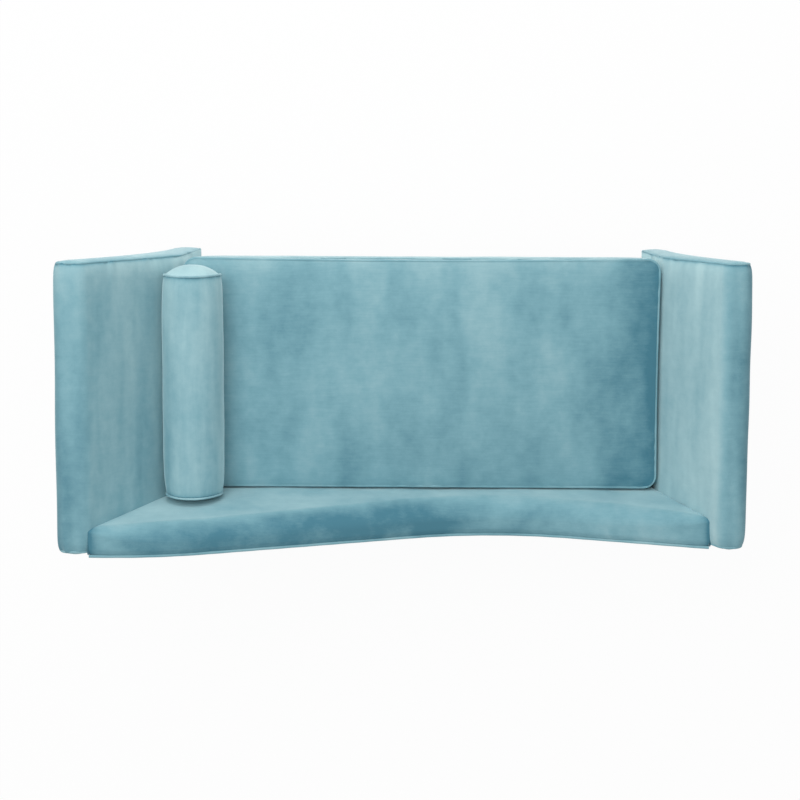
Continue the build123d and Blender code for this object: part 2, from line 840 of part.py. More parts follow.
def bolster_shape(axis_x, axis_z, inset, front, rear):
    """Barrel between two end planes, turned about an axis along Y."""
    middle = (bolster_front_seam_y + bolster_rear_seam_y) / 2
    end = bolster_end_radius - inset
    with BuildPart() as barrel:
        with BuildSketch(Plane(origin=(axis_x, 0, axis_z), x_dir=(0, 1, 0), z_dir=(1, 0, 0))):
            with BuildLine():
                ThreePointArc((front, end), (middle, bolster_radius - inset), (rear, end))
                Polyline((rear, end), (rear, 0), (front, 0), (front, end))
            make_face()
        revolve(axis=Axis((axis_x, 0, axis_z), (0, 1, 0)))
    return barrel.part


def leaning_gap_x(axis_z):
    """Bolster axis position that keeps it just clear of the leaning head arm."""
    return head.inner_x(axis_z) - (bolster_radius + bolster_side_gap) / math.cos(head.lean)


def resting_axis_z(axis_x):
    """Height at which the round underside just clears the crown, tried across its width."""
    steps = [bolster_radius * i / settle_steps for i in range(-settle_steps, settle_steps + 1)]
    over_cushion = [d for d in steps if axis_x + d < cushion_head_x]
    heights = [crown_rise(axis_x + d) + math.sqrt(bolster_radius**2 - d**2) for d in over_cushion]
    return crown_rim + max(heights) + rest_gap


bolster_z = crown_rim + cushion_crown + bolster_radius
for settle in range(settle_rounds):
    bolster_x = leaning_gap_x(bolster_z)
    bolster_z = resting_axis_z(bolster_x)
bolster_axis = Axis((bolster_x, 0, bolster_z), (0, 1, 0))
end_in = bolster_welt_radius + joint_gap
tube_front_y = bolster_front_seam_y + end_in
tube_rear_y = bolster_rear_seam_y - end_in

with BuildPart() as bolster_tube:
    add(bolster_shape(bolster_x, bolster_z, 0.0, tube_front_y, tube_rear_y))
    hollow = bolster_shape(bolster_x, bolster_z, bolster_wall, bolster_front_seam_y, bolster_rear_seam_y)
    add(hollow, mode=Mode.SUBTRACT)
save(bolster_tube.part, "bolster_tube")

core_inset = bolster_wall + layer_gap
save(bolster_shape(bolster_x, bolster_z, core_inset, tube_front_y, tube_rear_y), "bolster_core")

cap_radius = bolster_end_radius - bolster_welt_diameter - joint_gap
for label, seam_y, outward, bulge in (
    ("bolster_front_end", bolster_front_seam_y, -1, bolster_front_bulge),
    ("bolster_rear_end", bolster_rear_seam_y, 1, bolster_rear_bulge),
):
    inner_y = seam_y - outward * (end_in - joint_gap)
    rim_y = seam_y + outward * bolster_welt_radius / 2
    tip_y = seam_y + outward * bulge
    with BuildPart() as cap:
        with BuildSketch(Plane(origin=(bolster_x, 0, bolster_z), x_dir=(0, 1, 0), z_dir=(1, 0, 0))):
            with BuildLine():
                Polyline((tip_y, 0), (inner_y, 0), (inner_y, cap_radius), (rim_y, cap_radius))
                TangentArc((tip_y, 0), (rim_y, cap_radius), tangent=(0, 1), tangent_from_first=True)
            make_face()
        revolve(axis=bolster_axis)
    save(cap.part, label)

welt_ring_radius = bolster_end_radius - bolster_welt_radius
with BuildPart() as bolster_welts:
    for y in (bolster_front_seam_y, bolster_rear_seam_y):
        with BuildSketch(Plane(origin=(bolster_x, y, bolster_z), x_dir=(0, 1, 0), z_dir=(1, 0, 0))):
            with Locations((0, welt_ring_radius)):
                RegularPolygon(bolster_welt_radius, welt_sides)
        revolve(axis=bolster_axis)
save(bolster_welts.part, "bolster_welts")


# Legs, their plates, glides and fasteners

leg_names = ("leg_head_front", "leg_head_back", "leg_foot_front", "leg_foot_back")
for label, (x, y) in zip(leg_names, leg_places):
    with BuildPart() as leg:
        with BuildSketch(Plane.XY.offset(glide_thickness)):
            with Locations((x, y)):
                Circle(leg_bottom_radius)
        with BuildSketch(Plane.XY.offset(leg_length)):
            with Locations((x, y)):
                Circle(leg_top_radius)
        loft()
        chamfer(leg.edges().filter_by(GeomType.CIRCLE), leg_edge)
        with BuildSketch(Plane.XY.offset(leg_length)):
            with Locations((x, y)):
                RegularPolygon(hanger_radius + hole_gap, shaft_sides)
        extrude(amount=-hanger_in_leg - hole_gap, mode=Mode.SUBTRACT)
        with BuildSketch(Plane.XY.offset(glide_thickness)):
            with Locations((x, y)):
                RegularPolygon(glide_pin_radius + hole_gap, shaft_sides)
        extrude(amount=glide_pin_length + hole_gap, mode=Mode.SUBTRACT)
    save(leg.part, label)

with BuildPart() as leg_glides:
    with BuildSketch(Plane.XY):
        with Locations(*leg_places):
            Circle(glide_radius)
    extrude(amount=glide_thickness)
    with BuildSketch(Plane.XY.offset(glide_thickness)):
        with Locations(*leg_places):
            RegularPolygon(glide_pin_radius, shaft_sides)
    extrude(amount=glide_pin_length)
save(leg_glides.part, "leg_glides")

with BuildPart() as leg_plates:
    with BuildSketch(Plane.XY.offset(leg_length)) as leg_plates_outline:
        with Locations(*leg_places):
            Rectangle(plate_side, plate_side)
        chamfer(leg_plates_outline.vertices(), plate_corner)
        with Locations(*leg_places):
            RegularPolygon(hanger_radius + hole_gap, shaft_sides, mode=Mode.SUBTRACT)
        with Locations(*screw_places):
            RegularPolygon(screw_radius + hole_gap, shaft_sides, mode=Mode.SUBTRACT)
    extrude(amount=plate_thickness)
save(leg_plates.part, "leg_plates")

with BuildPart() as hanger_bolts:
    with BuildSketch(Plane.XY.offset(leg_length - hanger_in_leg)):
        with Locations(*leg_places):
            RegularPolygon(hanger_radius, shaft_sides)
    extrude(amount=hanger_in_leg + plate_thickness + hanger_above_plate)
save(hanger_bolts.part, "hanger_bolts")

with BuildPart() as plate_screws:
    with BuildSketch(Plane.XY.offset(leg_length)):
        with Locations(*screw_places):
            RegularPolygon(screw_head_radius, hex_sides)
    extrude(amount=-screw_head_height)
    with BuildSketch(Plane.XY.offset(leg_length)):
        with Locations(*screw_places):
            RegularPolygon(screw_radius, shaft_sides)
    extrude(amount=screw_length)
save(plate_screws.part, "plate_screws")


def machine_bolt(head_face, inward, grip):
    """Hex bolt with a washer under its head and the flange of a tee nut beyond the grip."""
    with BuildPart() as bolt:
        with BuildSketch(Plane(origin=head_face, z_dir=inward)):
            RegularPolygon(washer_radius, washer_sides)
        extrude(amount=-washer_thickness)
        with BuildSketch(Plane(origin=head_face, z_dir=inward).offset(-washer_thickness)):
            RegularPolygon(bolt_head_radius, hex_sides)
        extrude(amount=-bolt_head_height)
        with BuildSketch(Plane(origin=head_face, z_dir=inward)):
            RegularPolygon(bolt_radius, shaft_sides)
        extrude(amount=grip)
        with BuildSketch(Plane(origin=head_face, z_dir=inward).offset(grip)):
            RegularPolygon(nut_flange_radius, washer_sides)
        extrude(amount=nut_flange_thickness)
    return bolt.part


with BuildPart() as arm_bolts:
    for arm in (head, foot):
        for place in arm_bolt_places(arm):
            add(machine_bolt(place, (arm.side, 0, 0), rail_thickness + joint_gap + mount_rail_depth))
save(arm_bolts.part, "arm_bolts")

with BuildPart() as back_bolts:
    for x in post_places:
        grip = rail_thickness + joint_gap + post_tongue_depth - flange_sink
        nut_side = (x, tongue_front_y, back_bolt_z)
        add(machine_bolt(nut_side, (0, 1, 0), grip))
save(back_bolts.part, "back_bolts")
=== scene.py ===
import json
import math

import bmesh
import bpy
import numpy as np
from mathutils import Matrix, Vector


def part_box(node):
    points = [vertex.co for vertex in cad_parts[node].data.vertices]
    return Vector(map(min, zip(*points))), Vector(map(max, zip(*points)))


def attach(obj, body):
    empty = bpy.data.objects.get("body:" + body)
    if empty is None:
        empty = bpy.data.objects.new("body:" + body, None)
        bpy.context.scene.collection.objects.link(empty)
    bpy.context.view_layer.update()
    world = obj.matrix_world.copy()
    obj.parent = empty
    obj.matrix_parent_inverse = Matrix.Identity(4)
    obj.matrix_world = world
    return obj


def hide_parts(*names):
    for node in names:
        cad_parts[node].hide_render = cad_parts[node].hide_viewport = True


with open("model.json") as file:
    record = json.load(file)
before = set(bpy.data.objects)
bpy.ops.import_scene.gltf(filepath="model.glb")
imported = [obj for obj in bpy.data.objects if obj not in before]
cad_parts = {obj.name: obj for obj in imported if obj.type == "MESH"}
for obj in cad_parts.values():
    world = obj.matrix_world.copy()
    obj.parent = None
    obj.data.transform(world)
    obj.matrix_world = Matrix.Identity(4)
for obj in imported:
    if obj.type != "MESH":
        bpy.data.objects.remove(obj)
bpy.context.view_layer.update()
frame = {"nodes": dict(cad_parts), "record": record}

scene = bpy.context.scene
scene.view_settings.view_transform = "Standard"
print("frame loaded:", len(frame["nodes"]), "nodes")

# Sizes in metres that several pieces share; +X is the head end, -Y the front
sofa = {
    "frontY": -0.3412,  # arm fronts, at the height frontLevel
    "frontLevel": 0.627,
    "frontRake": math.radians(3.0),
    "baseZ": 0.132,
    "kneeZ": 0.4428,  # where the inner faces start to lean
    "railTopZ": 0.292,
    "seatBackY": 0.2458,
    "recline": math.radians(8.6),
    "backBaseY": 0.3122,  # rear face, at the height baseZ
    "rake": math.radians(5.0),
    "armSetIn": 0.012,
    "facing": 0.010,
    "weltRadius": 0.0036,
}


def insideY(z):  # the padded face behind the cushion: upright to the knee, then leaning back
    return sofa["seatBackY"] + math.tan(sofa["recline"]) * np.maximum(0.0, z - sofa["kneeZ"])


def outsideY(z):  # the rear face, one raked plane
    return sofa["backBaseY"] + math.tan(sofa["rake"]) * (z - sofa["baseZ"])


def armRearY(z):  # the arms end a little in front of the rear face
    return outsideY(z) - sofa["armSetIn"]


def armFrontY(z):  # the arm fronts lean back a little
    return sofa["frontY"] + math.tan(sofa["frontRake"]) * (z - sofa["frontLevel"])


# Helpers

def linear(hexText):  # sRGB hex to linear colour
    part = np.array([int(hexText[i:i + 2], 16) / 255 for i in (1, 3, 5)])
    part = np.where(part <= 0.04045, part / 12.92, ((part + 0.055) / 1.055) ** 2.4)
    return (*[float(c) for c in part], 1.0)


def addNode(tree, kind, settings=None, links=None):
    made = tree.nodes.new(kind)
    for key, value in (settings or {}).items():
        if isinstance(key, int) or key in made.inputs:
            made.inputs[key].default_value = value
        else:
            setattr(made, key, value)
    for key, source in (links or {}).items():
        tree.links.new(source, made.inputs[key])
    return made


def startMaterial(name):
    made = bpy.data.materials.new(name)
    made.use_nodes = True
    tree = made.node_tree
    tree.nodes.clear()
    out = addNode(tree, "ShaderNodeOutputMaterial")
    place = addNode(tree, "ShaderNodeTexCoord")
    return made, tree, out, place.outputs["Object"]


def ramp(tree, source, stops):
    made = addNode(tree, "ShaderNodeValToRGB", None, {"Fac": source})
    bar = made.color_ramp
    bar.elements[0].position, bar.elements[0].color = stops[0][0], linear(stops[0][1])
    bar.elements[1].position, bar.elements[1].color = stops[-1][0], linear(stops[-1][1])
    for position, colour in stops[1:-1]:
        bar.elements.new(position).color = linear(colour)
    return made.outputs["Color"]


def fade(distance, reach):  # 1 at a seam, dying away over about the reach
    return np.exp(-distance / reach)


def around(count):  # angles once round a circle
    return np.linspace(0, 2 * np.pi, count, endpoint=False)


def softNoise(a, b, size, seed):
    # smooth bumps, mostly between -1 and 1: eight sine waves of about one size, turned at random and added up
    waves = 8
    pick = np.random.default_rng(seed)
    turn = pick.uniform(0, 2 * np.pi, waves)
    shift = pick.uniform(0, 2 * np.pi, waves)
    pitch = 2 * np.pi / (size * pick.uniform(0.7, 1.5, waves))
    wave = [np.sin(k * (a * np.cos(t) + b * np.sin(t)) + s) for k, t, s in zip(pitch, turn, shift)]
    return np.sum(wave, axis=0) / (0.4 * waves)


def upright(points):  # 0 where a grid of points lies level, 1 where it stands upright
    square = np.cross(np.gradient(points, axis=0), np.gradient(points, axis=1))
    return 1 - np.abs(square[..., 2]) / np.maximum(np.linalg.norm(square, axis=-1), 1e-12)


def putMesh(name, points, wrapU=False, wrapV=False, flip=False, weld=False, nap=None):
    # a grid of points (rows u, columns v) as quads, closed round u or v where asked
    rows, columns = points.shape[:2]
    # by default the painted shading follows how upright the surface stands: a painted sheen, paler on upright
    # faces
    if nap is None:
        nap = upright(points)
        if weld:  # poles take the tone of the ring beside them
            nap[0], nap[-1] = nap[1], nap[-2]
    ids = np.arange(rows * columns).reshape(rows, columns)
    if wrapU:
        ids = np.vstack([ids, ids[:1]])
    if wrapV:
        ids = np.hstack([ids, ids[:, :1]])
    quads = np.stack([ids[:-1, :-1], ids[1:, :-1], ids[1:, 1:], ids[:-1, 1:]], -1).reshape(-1, 4)
    if flip:
        quads = quads[:, ::-1]
    mesh = bpy.data.meshes.new(name)
    mesh.vertices.add(rows * columns)
    mesh.vertices.foreach_set("co", points.reshape(-1).astype(np.float32))
    mesh.loops.add(quads.size)
    mesh.loops.foreach_set("vertex_index", quads.reshape(-1).astype(np.int32))
    mesh.polygons.add(len(quads))
    mesh.polygons.foreach_set("loop_start", np.arange(len(quads), dtype=np.int32) * 4)
    mesh.update(calc_edges=True)
    # the painted shading is stored per point for the velvet to read
    paintedShadingLayer = mesh.attributes.new("nap", "FLOAT", "POINT")
    paintedShadingLayer.data.foreach_set("value", (nap + np.zeros((rows, columns))).reshape(-1).astype(np.float32))
    if weld:  # closes poles and folded ends, and turns the closed skin outwards
        work = bmesh.new()
        work.from_mesh(mesh)
        bmesh.ops.remove_doubles(work, verts=work.verts, dist=1e-6)
        bmesh.ops.recalc_face_normals(work, faces=work.faces)
        work.to_mesh(mesh)
        work.free()
    mesh.shade_smooth()
    mesh.set_sharp_from_angle(angle=math.radians(55))
    made = bpy.data.objects.new(name, mesh)
    scene.collection.objects.link(made)
    return made


def dress(piece, material, body, nodes=(), skin=None):
    piece.data.materials.append(material)
    if skin:  # cloth and wadding: behind the face, or laid on it where negative
        wall = piece.modifiers.new("skin", "SOLIDIFY")
        wall.thickness = abs(skin)
        wall.offset = -1.0 if skin > 0 else 1.0
    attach(piece, body)
    if nodes:
        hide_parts(*nodes)
    return piece


def runAlong(path):  # distance along a path at each of its points
    return np.concatenate([[0], np.cumsum(np.linalg.norm(np.diff(path, axis=0), axis=1))])


def evenPath(path, count, closed=False):
    # the same path with points at even distances
    path = np.asarray(path, float)
    if closed:
        path = np.vstack([path, path[:1]])
    run = runAlong(path)
    at = np.linspace(0, run[-1], count, endpoint=not closed)
    return np.stack([np.interp(at, run, path[:, i]) for i in range(path.shape[1])], -1)


def arc(centre, radius, start, stop, count=28):
    turn = np.linspace(start, stop, count)
    return np.stack([centre[0] + radius * np.cos(turn), centre[1] + radius * np.sin(turn)], -1)


def tube(name, path, radius, sides=12, closed=False):
    # a round cord: a circle carried square to the path, with a faint lay from the bias-cut cloth round it
    lay, layLength = 0.035, 0.011
    ahead = np.gradient(path, axis=0)
    if closed:
        ahead = np.roll(path, -1, axis=0) - np.roll(path, 1, axis=0)
    ahead /= np.linalg.norm(ahead, axis=1, keepdims=True)
    flat = np.linalg.svd(path - path.mean(axis=0))[2][2]  # normal of the plane nearest to the path
    side = np.cross(ahead, flat)
    side /= np.linalg.norm(side, axis=1, keepdims=True)
    lift = np.cross(side, ahead)
    turn = around(sides)
    swell = radius * (1 + lay * np.sin(runAlong(path)[:, None] / layLength + turn[None, :]))
    circle = np.cos(turn)[None, :, None] * side[:, None, :] + np.sin(turn)[None, :, None] * lift[:, None, :]
    points = path[:, None, :] + swell[..., None] * circle
    if not closed:  # the ends close to a point
        tips = path[[0, -1]][:, None, :].repeat(sides, 1)
        points = np.concatenate([tips[:1], points, tips[1:]])
    return putMesh(name, points, wrapU=closed, wrapV=True, weld=True, nap=0.25)


# Materials

# Short-pile cotton velvet: soft brush marks, faint threads, and painted shading from the per-point attribute:
# paler where it is high (painted sheen and painted highlight), darker where it is low (painted shade)
velvetLook = {
    "deep": "#4d8091",
    "plain": "#80adb8",
    "pale": "#b4d4d8",
    "sheen": "#d8ecee",
    "brush": 0.030,
    "brushShare": 0.30,
    "fibre": 0.0016,  # real pile is about 0.3 mm; drawn coarser so that it shows
    "fibreShare": 0.12,
    "pileDepth": 0.0006,
}


def velvet(name, bands, threads, weave=0.13, lift=0.0, gain=0.35):
    # bands and threads: length of the marks along X, Y and Z; weave: share of the threads in the tone
    # lift and gain: how the painted shading attribute moves the tone
    look = velvetLook
    made, tree, out, place = startMaterial(name)
    wide = addNode(tree, "ShaderNodeMapping",
                   {"Scale": [1 / length for length in bands]}, {"Vector": place})
    fine = addNode(tree, "ShaderNodeMapping",
                   {"Scale": [1 / length for length in threads]}, {"Vector": place})
    marks = addNode(tree, "ShaderNodeTexNoise",
                    {"Scale": 1.0, "Detail": 2.0, "Roughness": 0.5, "Distortion": 0.2},
                    {"Vector": wide.outputs["Vector"]})
    brush = addNode(tree, "ShaderNodeTexNoise",
                    {"Scale": 1 / look["brush"], "Detail": 4.0, "Roughness": 0.6}, {"Vector": place})
    thread = addNode(tree, "ShaderNodeTexNoise",
                     {"Scale": 1.0, "Detail": 3.0, "Roughness": 0.6}, {"Vector": fine.outputs["Vector"]})
    fibre = addNode(tree, "ShaderNodeTexNoise",
                    {"Scale": 1 / look["fibre"], "Detail": 2.0, "Roughness": 0.7}, {"Vector": place})
    soft = addNode(tree, "ShaderNodeMixRGB", {"Fac": look["brushShare"]},
                   {"Color1": marks.outputs["Fac"], "Color2": brush.outputs["Fac"]})
    woven = addNode(tree, "ShaderNodeMixRGB", {"Fac": weave},
                    {"Color1": soft.outputs["Color"], "Color2": thread.outputs["Fac"]})
    grain = addNode(tree, "ShaderNodeMixRGB", {"Fac": look["fibreShare"]},
                    {"Color1": woven.outputs["Color"], "Color2": fibre.outputs["Fac"]})
    # the painted shading attribute: painted sheen, highlight and shade, set per point in each piece's code
    nap = addNode(tree, "ShaderNodeAttribute", {"attribute_name": "nap"})
    lean = addNode(tree, "ShaderNodeMath", {"operation": "MULTIPLY_ADD", 1: gain, 2: lift},
                   {0: nap.outputs["Fac"]})
    tone = addNode(tree, "ShaderNodeMath", {"operation": "ADD"},
                   {0: lean.outputs[0], 1: grain.outputs["Color"]})
    colour = ramp(tree, tone.outputs[0], [(0.2, look["deep"]), (0.5, look["plain"]), (0.92, look["pale"])])
    relief = addNode(tree, "ShaderNodeBump", {"Strength": 0.25, "Distance": look["pileDepth"]},
                     {"Height": fibre.outputs["Fac"]})
    cloth = addNode(tree, "ShaderNodeBsdfPrincipled",
                    {"Roughness": 0.92, "Specular IOR Level": 0.12, "Sheen Weight": 0.8,
                     "Sheen Roughness": 0.35, "Sheen Tint": linear(look["sheen"])},
                    {"Base Color": colour, "Normal": relief.outputs["Normal"]})
    tree.links.new(cloth.outputs["BSDF"], out.inputs["Surface"])
    return made


# Copies of one velvet; the lift darkens the back, a painted shade, and lightens the bolster, a painted light
seatVelvet = velvet("velvet_seat", (0.11, 0.28, 0.20), (0.05, 0.004, 0.004), lift=-0.06)
armVelvet = velvet("velvet_arm", (0.07, 0.40, 0.07), (0.05, 0.004, 0.05), weave=0.07, lift=-0.05, gain=0.26)
rollVelvet = velvet("velvet_bolster", (0.05, 0.35, 0.05), (0.004, 0.06, 0.004),
                    weave=0.07, lift=0.08, gain=0.20)
backVelvet = velvet("velvet_back", (0.14, 0.12, 0.12), (0.05, 0.004, 0.004), lift=-0.07, gain=0.40)
upVelvet = velvet("velvet_upright", (0.08, 0.08, 0.30), (0.004, 0.004, 0.05), gain=0.22)
print("velvet ready")


# Arms: one section carried along the depth

arms = {
    "head": {
        "side": 1,
        "seatFace": 0.565,
        "lean": math.radians(29.3),
        "top": 0.770,
        "width": 0.1045,
        "baseWidth": 0.080,
        "slim": 0.007,  # how far the outer roll is drawn in at the front
        # painted shading: the leaning inner face paler (painted sheen), the outer roll darker (painted shade)
        "innerPaintedSheen": 0.7,
        "lowPaintedLight": 2.5,  # painted light added low on the seat side, where the bolster shades the arm
        "outerPaintedShade": -1.3,
        "lipPaintedHighlight": 1.2,  # painted highlight added along the front edge
        "seed": 11,
    },
    "foot": {
        "side": -1,
        "seatFace": 0.650,
        "lean": math.radians(23.2),
        "top": 0.702,
        "width": 0.081,
        "baseWidth": 0.066,
        "slim": 0.0,
        # painted shading as for the head arm: inner face paler (painted sheen), outer roll darker (painted
        # shade), front edge paler (painted highlight)
        "innerPaintedSheen": 1.9,
        "lowPaintedLight": 0.0,
        "outerPaintedShade": -1.3,
        "lipPaintedHighlight": 0.4,
        "seed": 23,
    },
}
armPadding = {
    "knee": 0.080,
    "innerRoll": 0.028,
    "outerRoll": 0.032,
    "sweep": 1.45,  # about the length of the section's outline
    "crown": 0.0012,
    "crownReach": 0.035,
    "slack": 0.0011,
    "tuck": 0.0075,
    "tuckLength": 0.012,
    "pucker": 0.0032,
    "puckerPitch": 0.0065,
    "overTimber": 0.0008,
    "seam": 0.004,
    "weltRadius": 0.0030,
    "weltDepth": 0.0062,
    "weltShows": 0.0012,  # depth of the welt where the cover runs flat
    "panelDepth": 0.0092,
    "panelSink": 0.0045,
    "panelDome": 0.0035,
    "panelEdge": 0.0015,
    "panelRows": 151,
    "panelColumns": 25,
    "sections": 340,
    "depths": 110,
}


def innerX(arm, z):
    return arm["seatFace"] + math.tan(arm["lean"]) * np.maximum(0.0, z - sofa["kneeZ"])


def armSection(arm, count):
    # up the seat side, round the knee, over the two rolls, down the hollow outer face; with outward normals
    pad, lean, top, low = armPadding, arm["lean"], arm["top"], sofa["baseZ"]
    face, kneeZ = arm["seatFace"], sofa["kneeZ"]
    kneeAt = (face + pad["knee"], kneeZ - pad["knee"] * math.tan(lean / 2))
    innerZ = top - pad["innerRoll"]
    innerAt = (face + (pad["innerRoll"] + (innerZ - kneeZ) * math.sin(lean)) / math.cos(lean), innerZ)
    baseX = face + arm["baseWidth"]
    out = float(innerX(arm, top)) + arm["width"] - baseX
    bend = (out ** 2 + (top - low) ** 2) / (2 * out)
    bendAt = (baseX + bend, low)
    rollZ = top - pad["outerRoll"]
    rollAt = (bendAt[0] - math.sqrt((bend + pad["outerRoll"]) ** 2 - (rollZ - low) ** 2), rollZ)
    rollEnd = math.atan2(low - rollZ, bendAt[0] - rollAt[0])
    path = evenPath(np.vstack([
        [(face, low)],
        arc(kneeAt, pad["knee"], math.pi, math.pi - lean),
        arc(innerAt, pad["innerRoll"], math.pi - lean, math.pi / 2),
        arc(rollAt, pad["outerRoll"], math.pi / 2, rollEnd),
        arc(bendAt, bend, rollEnd + math.pi, math.pi),
    ]), count)
    ahead = np.gradient(path, axis=0)
    normal = np.stack([-ahead[:, 1], ahead[:, 0]], -1)
    normal /= np.linalg.norm(normal, axis=1, keepdims=True)
    path[:, 0] *= arm["side"]
    normal[:, 0] *= arm["side"]
    return path, normal


def flush(path, normal, arm, atRear):
    # 1 where the cover runs flat to its edge: in front against the seat frame, at the rear against the back
    blend = 0.040
    level = arm["top"] - 0.020 if atRear else sofa["railTopZ"] + 0.045
    inside = np.clip(-2 * normal[:, 0] * arm["side"] - 0.8, 0, 1)
    return inside * np.clip((level - path[:, 1]) / blend, 0, 1)


def slimmer(normal, arm, share):  # the outer roll is drawn in a little, most at the front, where share is 0
    outward = np.maximum(normal[:, :1] * arm["side"], 0)
    return arm["slim"] * outward ** 2 * (1 - 0.6 * share)


def armCover(name, arm):
    # section point + outward normal * padding, carried from the front seam to the raked rear seam
    pad, seed = armPadding, arm["seed"]
    path, normal = armSection(arm, pad["sections"])
    share = np.linspace(0, 1, pad["depths"])
    share = share - 0.03 * np.sin(4 * np.pi * share)  # closer rows near the seams
    front = armFrontY(path[:, 1:]) + pad["seam"]
    rear = armRearY(path[:, 1:]) - pad["seam"]
    y = front + share * (rear - front)
    run = np.linspace(0, pad["sweep"], pad["sections"])[:, None] + 0 * y
    fromFront, fromRear = y - front, rear - y
    near = np.minimum(fromFront, fromRear)
    drawn = (1 - flush(path, normal, arm, False))[:, None] * fade(fromFront, pad["tuckLength"])
    drawn = drawn + (1 - flush(path, normal, arm, True))[:, None] * fade(fromRear, pad["tuckLength"])
    puff = pad["crown"] * (1 - fade(near, pad["crownReach"])) - pad["tuck"] * drawn
    puff += pad["slack"] * softNoise(run, y, 0.22, seed) * (1 - fade(near, 0.06))
    puff -= slimmer(normal, arm, share)
    folds = np.sin(run / pad["puckerPitch"] + 2.2 * softNoise(run, 0 * y, 0.08, seed + 1))
    folds *= np.clip(softNoise(run, 0 * y, 0.11, seed + 2), 0, 1)  # in a few places only
    puff += pad["pucker"] * folds * drawn ** 0.7
    bare = (path[:, 1:] < sofa["railTopZ"] + 0.004) & (normal[:, :1] * arm["side"] < -0.9)
    puff = np.where(bare, pad["overTimber"], puff)  # lies close over the timber below the deck
    points = np.stack([path[:, :1] + puff * normal[:, :1], y, path[:, 1:] + puff * normal[:, 1:]], -1)
    # painted shading: paler on the inner face (painted sheen), more so low on the seat side (painted light
    # against the bolster's shade), darker on the outer roll (painted shade)
    stands = 1 - np.abs(normal[:, 1:])
    inner = arm["innerPaintedSheen"] + arm["lowPaintedLight"] * fade(np.maximum(path[:, 1:] - sofa["kneeZ"], 0), 0.09)
    nap = stands * np.where(normal[:, :1] * arm["side"] < 0, inner, arm["outerPaintedShade"])
    nap = nap + arm["lipPaintedHighlight"] * fade(fromFront, 0.030)  # painted highlight along the front
    nap = nap - 3.5 * fade(fromFront, 0.004)  # painted shade in its seam
    return putMesh(name, points, flip=arm["side"] < 0, nap=nap)


def sunkSection(arm, depth, atRear, count):
    # the section moved in by a depth, but only just where the cover runs flat
    path, normal = armSection(arm, count)
    flat = flush(path, normal, arm, atRear)[:, None]
    shallow = depth - armPadding["weltDepth"] + armPadding["weltShows"]
    return path - normal * (slimmer(normal, arm, float(atRear)) + depth * (1 - flat) + shallow * flat)


def armPanel(name, arm, atRear):
    # the two sides of the sunk section paired row by row, and domed a little between them
    pad, rows = armPadding, armPadding["panelRows"]
    path = sunkSection(arm, pad["panelDepth"], atRear, 2 * rows - 1)
    inner, outer = path[:rows], path[rows - 1:][::-1]
    across = (1 - np.cos(np.linspace(0, np.pi, pad["panelColumns"]))) / 2
    flat = inner[:, None, :] * (1 - across[None, :, None]) + outer[:, None, :] * across[None, :, None]
    gap = np.linalg.norm(outer - inner, axis=1)[:, None]
    near = np.minimum(across, 1 - across)[None, :] * gap
    x, z = flat[..., 0], flat[..., 1]
    dome = pad["panelDome"] * (1 - fade(near, 0.014)) * (1 - fade(z - sofa["baseZ"] + 0.002, 0.012))
    sunk = pad["panelSink"] - dome + pad["panelEdge"] * fade(near, 0.0035)
    y = armRearY(z) - sunk if atRear else armFrontY(z) + sunk
    points = np.stack([x, y, z], -1)
    # a fixed painted shading: the rear panels paler than the front ones
    return putMesh(name, points, flip=(arm["side"] > 0) != atRear, nap=1.0 if atRear else 0.5)


def armWelt(name, arm, atRear):
    path = sunkSection(arm, armPadding["weltDepth"], atRear, 420)
    seam = armPadding["seam"]
    y = armRearY(path[:, 1]) - seam if atRear else armFrontY(path[:, 1]) + seam
    return tube(name, np.stack([path[:, 0], y, path[:, 1]], -1), armPadding["weltRadius"])


for key, arm in arms.items():
    node = key + "_arm"
    dress(armCover(key + "ArmCover", arm), armVelvet, "chaise_frame",
          [node + "_cover", node + "_foam"], skin=-0.002)
    dress(armPanel(key + "ArmFrontPanel", arm, False), upVelvet, "chaise_frame",
          [node + "_front_facing"], skin=-0.004)
    dress(armPanel(key + "ArmRearPanel", arm, True), upVelvet, "chaise_frame",
          [node + "_rear_facing"], skin=-0.004)
    dress(armWelt(key + "ArmFrontWelt", arm, False), upVelvet, "chaise_frame", [node + "_welts"])
    dress(armWelt(key + "ArmRearWelt", arm, True), upVelvet, "chaise_frame")
print("arms ready")


# Back: a padded face that leans back, rolls over a swooping top line and ends at the rear welt

back = {
    "headZ": 0.768,
    "footZ": 0.668,
    "dip": (-0.218, 0.534),
    "dipRadius": 0.760,
    "crest": (0.580, 0.768),
    "crestRadius": 0.800,
    "length": 1.45,  # about the length between the arms at the top
    "rollHigh": 0.062,
    "rollDeep": 0.054,
    "endTight": 0.042,  # how much smaller the roll is at both ends
    "armGap": 0.0018,
    "crown": 0.0025,
    "slack": 0.0012,
    "tuck": 0.002,
    "rearTuck": 0.0045,
    "tuckLength": 0.007,
    "columns": 300,
    "panelLength": 1.30,
    "panelGap": 0.0006,
    "panelDrop": 0.0072,
    "panelSink": 0.003,
    "panelDome": 0.004,
    "panelTurn": 0.014,
}


def roundedCorner(before, corner, after, radius):
    # arc that rounds a corner between two straight runs
    corner = np.array(corner)
    a = np.subtract(before, corner) / np.linalg.norm(np.subtract(before, corner))
    b = np.subtract(after, corner) / np.linalg.norm(np.subtract(after, corner))
    half = math.acos(float(np.dot(a, b))) / 2
    middle = corner + (a + b) / np.linalg.norm(a + b) * radius / math.sin(half)
    ends = [corner + way * radius / math.tan(half) for way in (a, b)]
    start, stop = [math.atan2(*(end - middle)[::-1]) for end in ends]
    stop += 2 * math.pi * round((start - stop) / (2 * math.pi))  # the short way round
    return arc(middle, radius, start, stop, 60)


